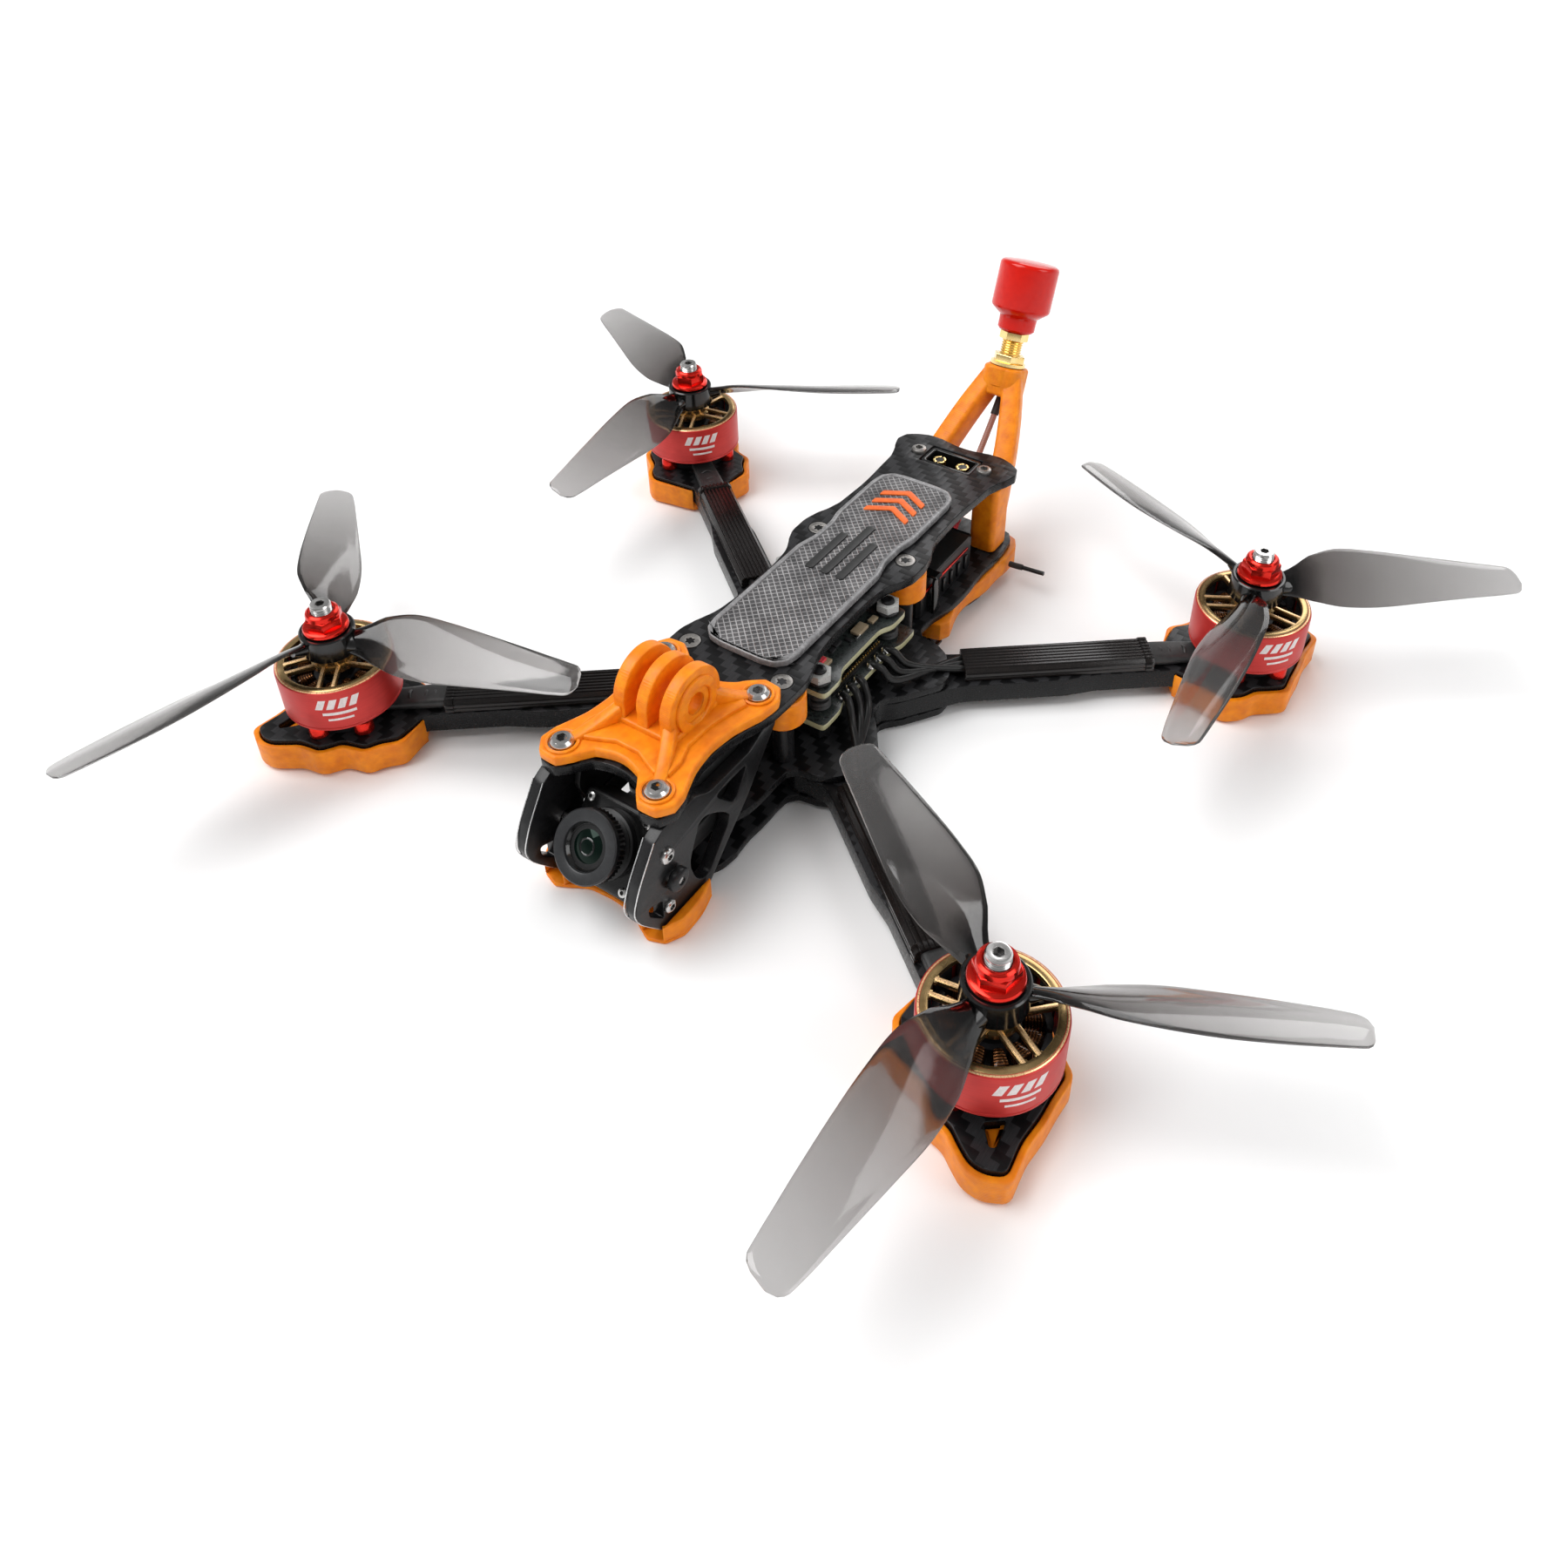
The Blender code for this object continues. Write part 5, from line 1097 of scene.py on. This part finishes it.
def make_socket():
    """The power socket's rim, its two split contacts and the leads under it."""
    finish_node("xt60_connector", GLOSS_BLACK)
    low, high = box_of("xt60_connector")
    contact_x = 3.6
    parts = []
    for sx, look in ((1, RED_PART), (-1, WIRE)):
        for turn in (0, 90, 180, 270):
            quarter = [polar(1.85, turn + 8 + 74 * k / 6) for k in range(7)]
            quarter += [polar(1.15, turn + 82 - 74 * k / 6) for k in range(7)]
            contact = prism(quarter, high.z - 7.9, high.z - 0.5, 0.08)
            parts += clad(GOLD, placed(contact, shift(sx * contact_x, TAIL_Y)))
        lead = [(sx * contact_x, TAIL_Y, low.z + 0.4), (sx * contact_x, 73.6, 17.6), (sx * 4.4, 68.0, 14.6),
                (sx * 5.0, 62.6, 14.2)]
        parts += clad(look, wire(lead, 1.45, 16))
    mouth = box_outline(6.55, 2.95, 0.8, 0.0, TAIL_Y)
    rim = prism(box_outline(7.75, 4.15, 1.3, 0.0, TAIL_Y), high.z - 0.9, high.z + 0.15, 0.2, [mouth])
    piece("socket_contacts", parts + clad(GLOSS_BLACK, rim))


# ---- Motors and propellers, each about its own shaft ----

BLADE_TURN = {"front_left": 26.7, "front_right": 16.9, "rear_right": 35.1, "rear_left": 32.6}
BELL_TURN = {"front_left": -27.0, "front_right": -50.0, "rear_right": 10.0, "rear_left": -7.0}
SPIN = {"front_left": -1, "front_right": 1, "rear_right": -1, "rear_left": 1}
# Along a blade: radius, chord, pitch in degrees, sweep, height over the hub's middle, thickness
BLADE = (
    (4.5, 5.6, 42.0, 0.0, -0.1, 3.0), (8.5, 7.4, 40.0, -0.5, 0.2, 2.5), (13.0, 11.5, 38.0, -1.2, 0.5, 2.0),
    (20.0, 15.3, 32.5, -1.4, 0.6, 1.7), (29.0, 15.6, 26.0, -1.2, 0.6, 1.45),
    (39.0, 13.9, 20.5, -1.4, 0.4, 1.25),
    (49.0, 11.8, 16.5, -1.5, 0.3, 1.05), (58.0, 9.8, 14.0, -1.5, 0.2, 0.9), (64.6, 8.2, 13.0, -1.6, 0.1, 0.7),
)
BLADE_TIP, TIP_ROUND = 64.7, 3.0
BELL_LOW, BELL_TOP = 12.8, 24.6


def blade_section(radius):
    """The blade's chord, pitch, sweep, height and thickness at a radius."""
    i = next((k for k, row in enumerate(BLADE[1:]) if radius <= row[0]), len(BLADE) - 2)
    rows = [BLADE[min(max(k, 0), len(BLADE) - 1)] for k in range(i - 1, i + 3)]
    t = min((radius - rows[1][0]) / (rows[2][0] - rows[1][0]), 1.0)
    return [between(*column, t) for column in list(zip(*rows))[1:]]


def blade(turn, spin, middle, count=44, sides=20):
    """One cambered blade with a rounded tip. spin is 1 where the leading edge faces anticlockwise."""
    rings = []
    for i in range(count):
        radius = BLADE[0][0] + (BLADE_TIP - BLADE[0][0]) * (1 - (1 - i / (count - 1)) ** 1.25)
        chord, pitch, sweep, height, thick = blade_section(radius)
        ahead, behind = chord / 2 - sweep, chord / 2 + sweep
        past = (radius - (BLADE_TIP - TIP_ROUND)) / TIP_ROUND
        if past > 0:
            close = max(1 - past ** 2.6, 0.002) ** 0.5
            centre = (ahead - behind) * 0.5 - 1.2
            ahead, behind = centre + (ahead - centre) * close, -centre + (behind + centre) * close
            thick *= 0.35 + 0.65 * close
        c, s = cos(radians(pitch)), sin(radians(pitch))
        ring = []
        for k in range(sides):
            along = 0.5 - 0.5 * cos(2 * pi * k / sides)
            profile = 1.35 * along ** 0.5 * (1 - along) ** 0.85 if 0 < along < 1 else 0.0
            across = ahead - chord * along if past <= 0 else ahead - (ahead + behind) * along
            camber = 0.05 * (ahead + behind) * sin(pi * min(along * 1.15, 1.0))
            over = k < sides / 2
            surface = camber + profile * thick * (0.62 if over else -0.38) + (0.06 if over else -0.06)
            ring.append((radius, (across * c - surface * s) * spin,
                         across * s + surface * c + height + middle))
        rings.append(ring)
    return placed(skinned(rings, angle=60.0), spun(turn))


def make_propeller(corner, at):
    spin = SPIN[corner]
    middle, top = HUB_LOW + HUB_HEIGHT / 2, HUB_LOW + HUB_HEIGHT
    turns = [BLADE_TURN[corner] + 120.0 * i for i in range(3)]
    blades = clad(SMOKE, *(blade(turn, spin, middle) for turn in turns))
    piece(f"propeller_blades_{corner}", blades, f"rotor_{corner}", [f"propeller_{corner}"],
          at)
    hub = [turned([(2.7, top - 0.3), (5.4, top - 0.3), (5.7, top), (6.2, top), (6.5, top - 0.3),
                   (6.5, HUB_LOW + 0.4),
                   (6.1, HUB_LOW), (5.2, HUB_LOW), (5.2, HUB_LOW + 1.6), (2.7, HUB_LOW + 1.6),
                   (2.7, top - 0.3)], 48)]
    lean = shift(0, 0, middle) @ spun(38.0 * spin, "X") @ shift(0, 0, -middle)
    for turn in turns:
        root = swept([(4.2, 0.0, middle - 0.1), (7.0, 0.0, middle), (9.2, 0.25 * spin, middle + 0.1)],
                     [(2.7, 2.2), (2.3, 1.5), (1.5, 0.75)], 16, 2.2)
        hub.append(placed(root, lean, spun(turn)))
    piece(f"propeller_hub_{corner}", clad(GLOSS_BLACK, *hub), f"rotor_{corner}", at=at)


def make_nut(corner, at):
    low, top = NUT_LOW, NUT_TOP
    flange = turned([(2.7, low + 1.2), (4.6, low + 1.2), (5.2, low + 0.9), (5.4, low + 0.5), (5.4, low + 0.1),
                     (5.2, low), (2.7, low)], 40)
    hexagon = prism(ngon(6, 4.55, turn=degrees(0.3)), low + 1.1, low + 3.7, 0.22, [ngon(24, 2.7)])
    dome = turned([(2.6, top - 0.25), (2.9, top), (3.3, top), (3.8, top - 0.35), (4.0, top - 0.9),
                   (4.0, low + 3.6), (2.7, low + 3.6), (2.6, top - 0.25)], 40)
    parts = clad(RED_BRIGHT, flange, hexagon, dome)
    piece(f"prop_nut_{corner}_anodised", parts, f"rotor_{corner}", [f"prop_nut_{corner}"], at)


def stripe(start, width, low, high, lean=0.0, radius=14.08):
    """A thin printed mark on the bell's side. start, width and lean are angles."""
    rings = []
    for k in range(7):
        ring = []
        for r, z in ((radius, low), (radius, high), (radius + 0.05, high), (radius + 0.05, low)):
            ring.append((*polar(r, start + width * k / 6 + lean * (z - low) / (high - low)), z))
        rings.append(ring)
    return skinned(rings)


def make_bell(corner, at):
    low, top = BELL_LOW, BELL_TOP
    side = turned([(13.15, top - 0.12), (13.5, top - 0.1), (13.95, top - 0.4), (14.1, top - 0.9),
                   (14.1, low + 1.1),
                   (13.95, low + 0.95), (13.95, low + 0.75), (14.1, low + 0.6), (14.1, low + 0.2),
                   (13.9, low), (12.95, low), (12.95, top - 1.0), (13.15, top - 0.12)], 72)
    rim = turned([(11.7, top - 0.1), (11.9, top), (13.05, top), (13.3, top - 0.15), (13.3, top - 0.9),
                  (12.4, top - 1.4), (11.7, top - 1.3), (11.7, top - 0.1)], 72)
    # Painted highlight: the top chamfer gets the bright brass.
    chamfer = turned([(13.28, top - 0.12), (13.52, top - 0.08), (13.72, top - 0.24)], 72)
    hub = turned([(2.5, HUB_LOW - 0.3), (4.1, HUB_LOW - 0.3), (4.6, HUB_LOW - 0.7), (4.6, top - 0.3),
                  (5.4, top - 0.5), (5.4, top - 1.6), (4.4, top - 2.6), (2.0, top - 2.6)], 40)
    parts = clad(RED, side) + clad(GOLD_FACE, rim, hub) + clad(EDGE_HIGHLIGHT, chamfer)
    for i in range(5):
        for y in (1.7, -1.7):
            bar = block((3.6, y - 0.52, top - 1.25), (12.2, y + 0.52, top - 0.12), 0.1)
            web = block((11.0, y - 0.9, top - 1.25), (12.3, y + 0.9, top - 0.16), 0.3)
            # Painted highlight: a bright strip along the top of each spoke.
            cap = block((3.9, y - 0.34, top - 0.2), (12.3, y + 0.34, top - 0.04), 0.05)
            spoke = clad(GOLD_FACE, bar, web) + clad(EDGE_HIGHLIGHT, cap)
            parts += moved(spoke, spun(BELL_TURN[corner] + 72.0 * i))
    magnet = [polar(12.95, a) for a in range(0, 23, 4)] + [polar(12.35, a) for a in range(20, -1, -4)]
    for i in range(14):
        parts += clad(MAGNET, placed(prism(magnet, low + 0.8, top - 2.2, 0.08), spun(i * 360 / 14)))
    end = SHAFT_TOP
    shaft = [(1.2, end - 0.1), (1.9, end), (2.2, end - 0.05), (2.48, end - 0.45)]
    for k in range(6):
        shaft += [(2.48, end - 0.6 - 0.5 * k), (2.22, end - 0.85 - 0.5 * k)]
    shaft += [(2.45, end - 3.8), (2.45, HUB_LOW), (2.0, HUB_LOW - 2.0), (2.0, ARM_TOP + 1.2),
              (0.0, ARM_TOP + 1.2)]
    socket = prism(ngon(24, 1.25), end - 2.0, end - 0.1, 0.0, [ngon(6, 1.12)])
    parts += clad(STEEL, turned(shaft, 36), socket)
    # Painted shade: a gloss black disc at the bottom of the shaft's hex socket.
    parts += clad(GLOSS_BLACK, prism(ngon(24, 1.25), end - 2.3, end - 2.0))
    for start in (-62.0, 118.0):
        marks = [stripe(start + 10.5 * k, 7.0, top - 5.0, top - 2.2, 5.0) for k in range(4)]
        marks += [stripe(start + 6.0, 32.0, top - 6.9, top - 6.1),
                  stripe(start + 10.0, 24.0, top - 8.6, top - 8.0)]
        parts += clad(PRINT_WHITE, *marks)
    piece(f"motor_bell_{corner}_turned", parts, f"rotor_{corner}", [f"motor_bell_{corner}"], at)


def make_base(corner, at):
    """The motor's foot with its red tabs, and the stator with its windings."""
    sx, sy = CORNERS[corner]
    floor = ARM_TOP + 0.3
    foot = turned([(2.3, floor + 2.6), (6.0, floor + 2.6), (9.4, floor + 1.6), (9.8, floor + 1.2),
                   (9.8, floor), (2.3, floor)], 48)
    neck = turned([(4.4, floor + 2.4), (4.4, BELL_TOP - 3.2), (2.5, BELL_TOP - 3.0)])
    core = turned([(5.6, BELL_LOW + 2.6), (5.6, BELL_TOP - 4.4), (4.2, BELL_TOP - 4.4)])
    parts = clad(ANODISED, foot, neck) + clad(STATOR, core)
    for i in range(12):
        coil = block((5.7, -1.35, BELL_LOW + 1.3), (9.7, 1.35, BELL_TOP - 3.1), 0.9)
        for vertex in coil.vertices:
            vertex.co.y *= 0.72 + 0.55 * (vertex.co.x / MM - 5.7) / 4.0
        shoe = [(9.8, -2.2), (10.7, -2.5), (11.2, -1.3), (11.35, 0.0), (11.2, 1.3), (10.7, 2.5), (9.8, 2.2)]
        tooth = clad(WINDING, coil) + clad(STATOR, prism(shoe, BELL_LOW + 2.4, BELL_TOP - 4.2, 0.1))
        parts += moved(tooth, spun(30.0 * i + 8.0))
    tip = degrees(atan2(-MOTOR.y, MOTOR.x)) + 20.0
    for angle in (42.0, 103.0, 222.0, 283.0):
        x, y = polar(10.4, tip + angle)
        x, y = sx * x, sy * y
        tab = turned([(0.0, floor + 3.7), (1.3, floor + 3.65), (2.1, floor + 3.2), (2.4, floor + 2.5),
                      (2.4, floor)], 24)
        arm = block((3.0, -2.2, floor), (10.4, 2.2, floor + 2.3), 0.5)
        parts += clad(RED_BRIGHT, placed(tab, shift(x, y)))
        parts += clad(RED, placed(arm, Matrix.Rotation(atan2(y, x), 4, "Z")))
    piece(f"motor_base_{corner}_wound", parts, "frame", [f"motor_base_{corner}"], at)


def make_motors():
    for corner, (sx, sy) in CORNERS.items():
        at = Vector((sx * MOTOR.x, -sy * MOTOR.y, 0.0)) * MM
        for make in (make_base, make_bell, make_propeller, make_nut):
            make(corner, at)


# ---- Stage ----


def make_stage():
    """A pale floor, three soft lamps and a white world that darkens upwards. This part is in metres."""
    size, z = 3.0, CAD_BOX[0][2] - 0.0001
    mesh = bpy.data.meshes.new("floor")
    mesh.from_pydata([(-size, -size, z), (size, -size, z), (size, size, z), (-size, size, z)], [],
                     [(0, 1, 2, 3)])
    mesh.materials.append(FLOOR)
    floor = bpy.data.objects.new("floor", mesh)
    bpy.context.scene.collection.objects.link(floor)
    world = bpy.data.worlds.new("studio")
    world.use_nodes = True
    nodes, links = world.node_tree.nodes, world.node_tree.links
    nodes["Background"].inputs["Color"].default_value = (1.0, 1.0, 1.0, 1.0)
    direction = nodes.new("ShaderNodeSeparateXYZ")
    links.new(nodes.new("ShaderNodeTexCoord").outputs["Generated"], direction.inputs[0])
    fade = nodes.new("ShaderNodeMapRange")
    links.new(direction.outputs[2], fade.inputs["Value"])
    for socket, number in (("From Min", 0.0), ("From Max", 0.35), ("To Min", 1.0), ("To Max", 0.32)):
        fade.inputs[socket].default_value = number
    links.new(fade.outputs["Result"], nodes["Background"].inputs["Strength"])
    bpy.context.scene.world = world
    aim = Vector((0.0, 0.0, 0.02))
    for name, place, size, power in (
        ("key", (-0.9, -0.7, 1.9), 1.6, 48.0),
        ("side", (1.9, 0.3, 1.3), 1.2, 16.0),
        ("back", (-0.3, 2.0, 1.3), 1.2, 15.0),
    ):
        light = bpy.data.lights.new(name, "AREA")
        light.size = size
        light.energy = power
        lamp = bpy.data.objects.new(name, light)
        lamp.location = place
        lamp.rotation_mode = "QUATERNION"
        lamp.rotation_quaternion = (aim - Vector(place)).to_track_quat("-Z", "Y")
        bpy.context.scene.collection.objects.link(lamp)
    bpy.context.scene.view_settings.view_transform = "Standard"
    bpy.context.scene.view_settings.look = "None"


def make_camera_view():
    """The camera stands in front of the drone's left side and looks down at it."""
    turn, rise, roll = radians(34.4), radians(35.1), radians(-0.91)
    back = Vector((sin(turn) * cos(rise), -cos(turn) * cos(rise), sin(rise)))
    right = Vector((cos(turn), sin(turn), 0.0))
    up = back.cross(right)
    tilted_right = right * cos(roll) + up * sin(roll)
    tilted_up = up * cos(roll) - right * sin(roll)
    data = bpy.data.cameras.new("view")
    data.sensor_width = 36.0
    data.lens = 30.9
    data.shift_x = -0.0172
    data.shift_y = -0.1667
    data.clip_start = 0.01
    camera = bpy.data.objects.new("view", data)
    bpy.context.scene.collection.objects.link(camera)
    place = Matrix((tilted_right, tilted_up, back)).transposed().to_4x4()
    place.translation = Vector((146.4, -209.2, 235.5)) * MM
    camera.matrix_world = place
    bpy.context.scene.camera = camera


for make in (
    make_stage, make_camera_view, make_plates, make_guards, make_bumpers, make_wire_covers, make_motor_leads,
    make_plate_screws, make_standoffs, make_camera_cage, make_camera_brackets, make_camera, make_action_mount,
    make_antenna_mount, make_antenna, make_cables, make_zip_tie, make_battery_pad, make_boards,
    make_stack_posts,
    make_transmitter, make_socket, make_motors,
):
    make()
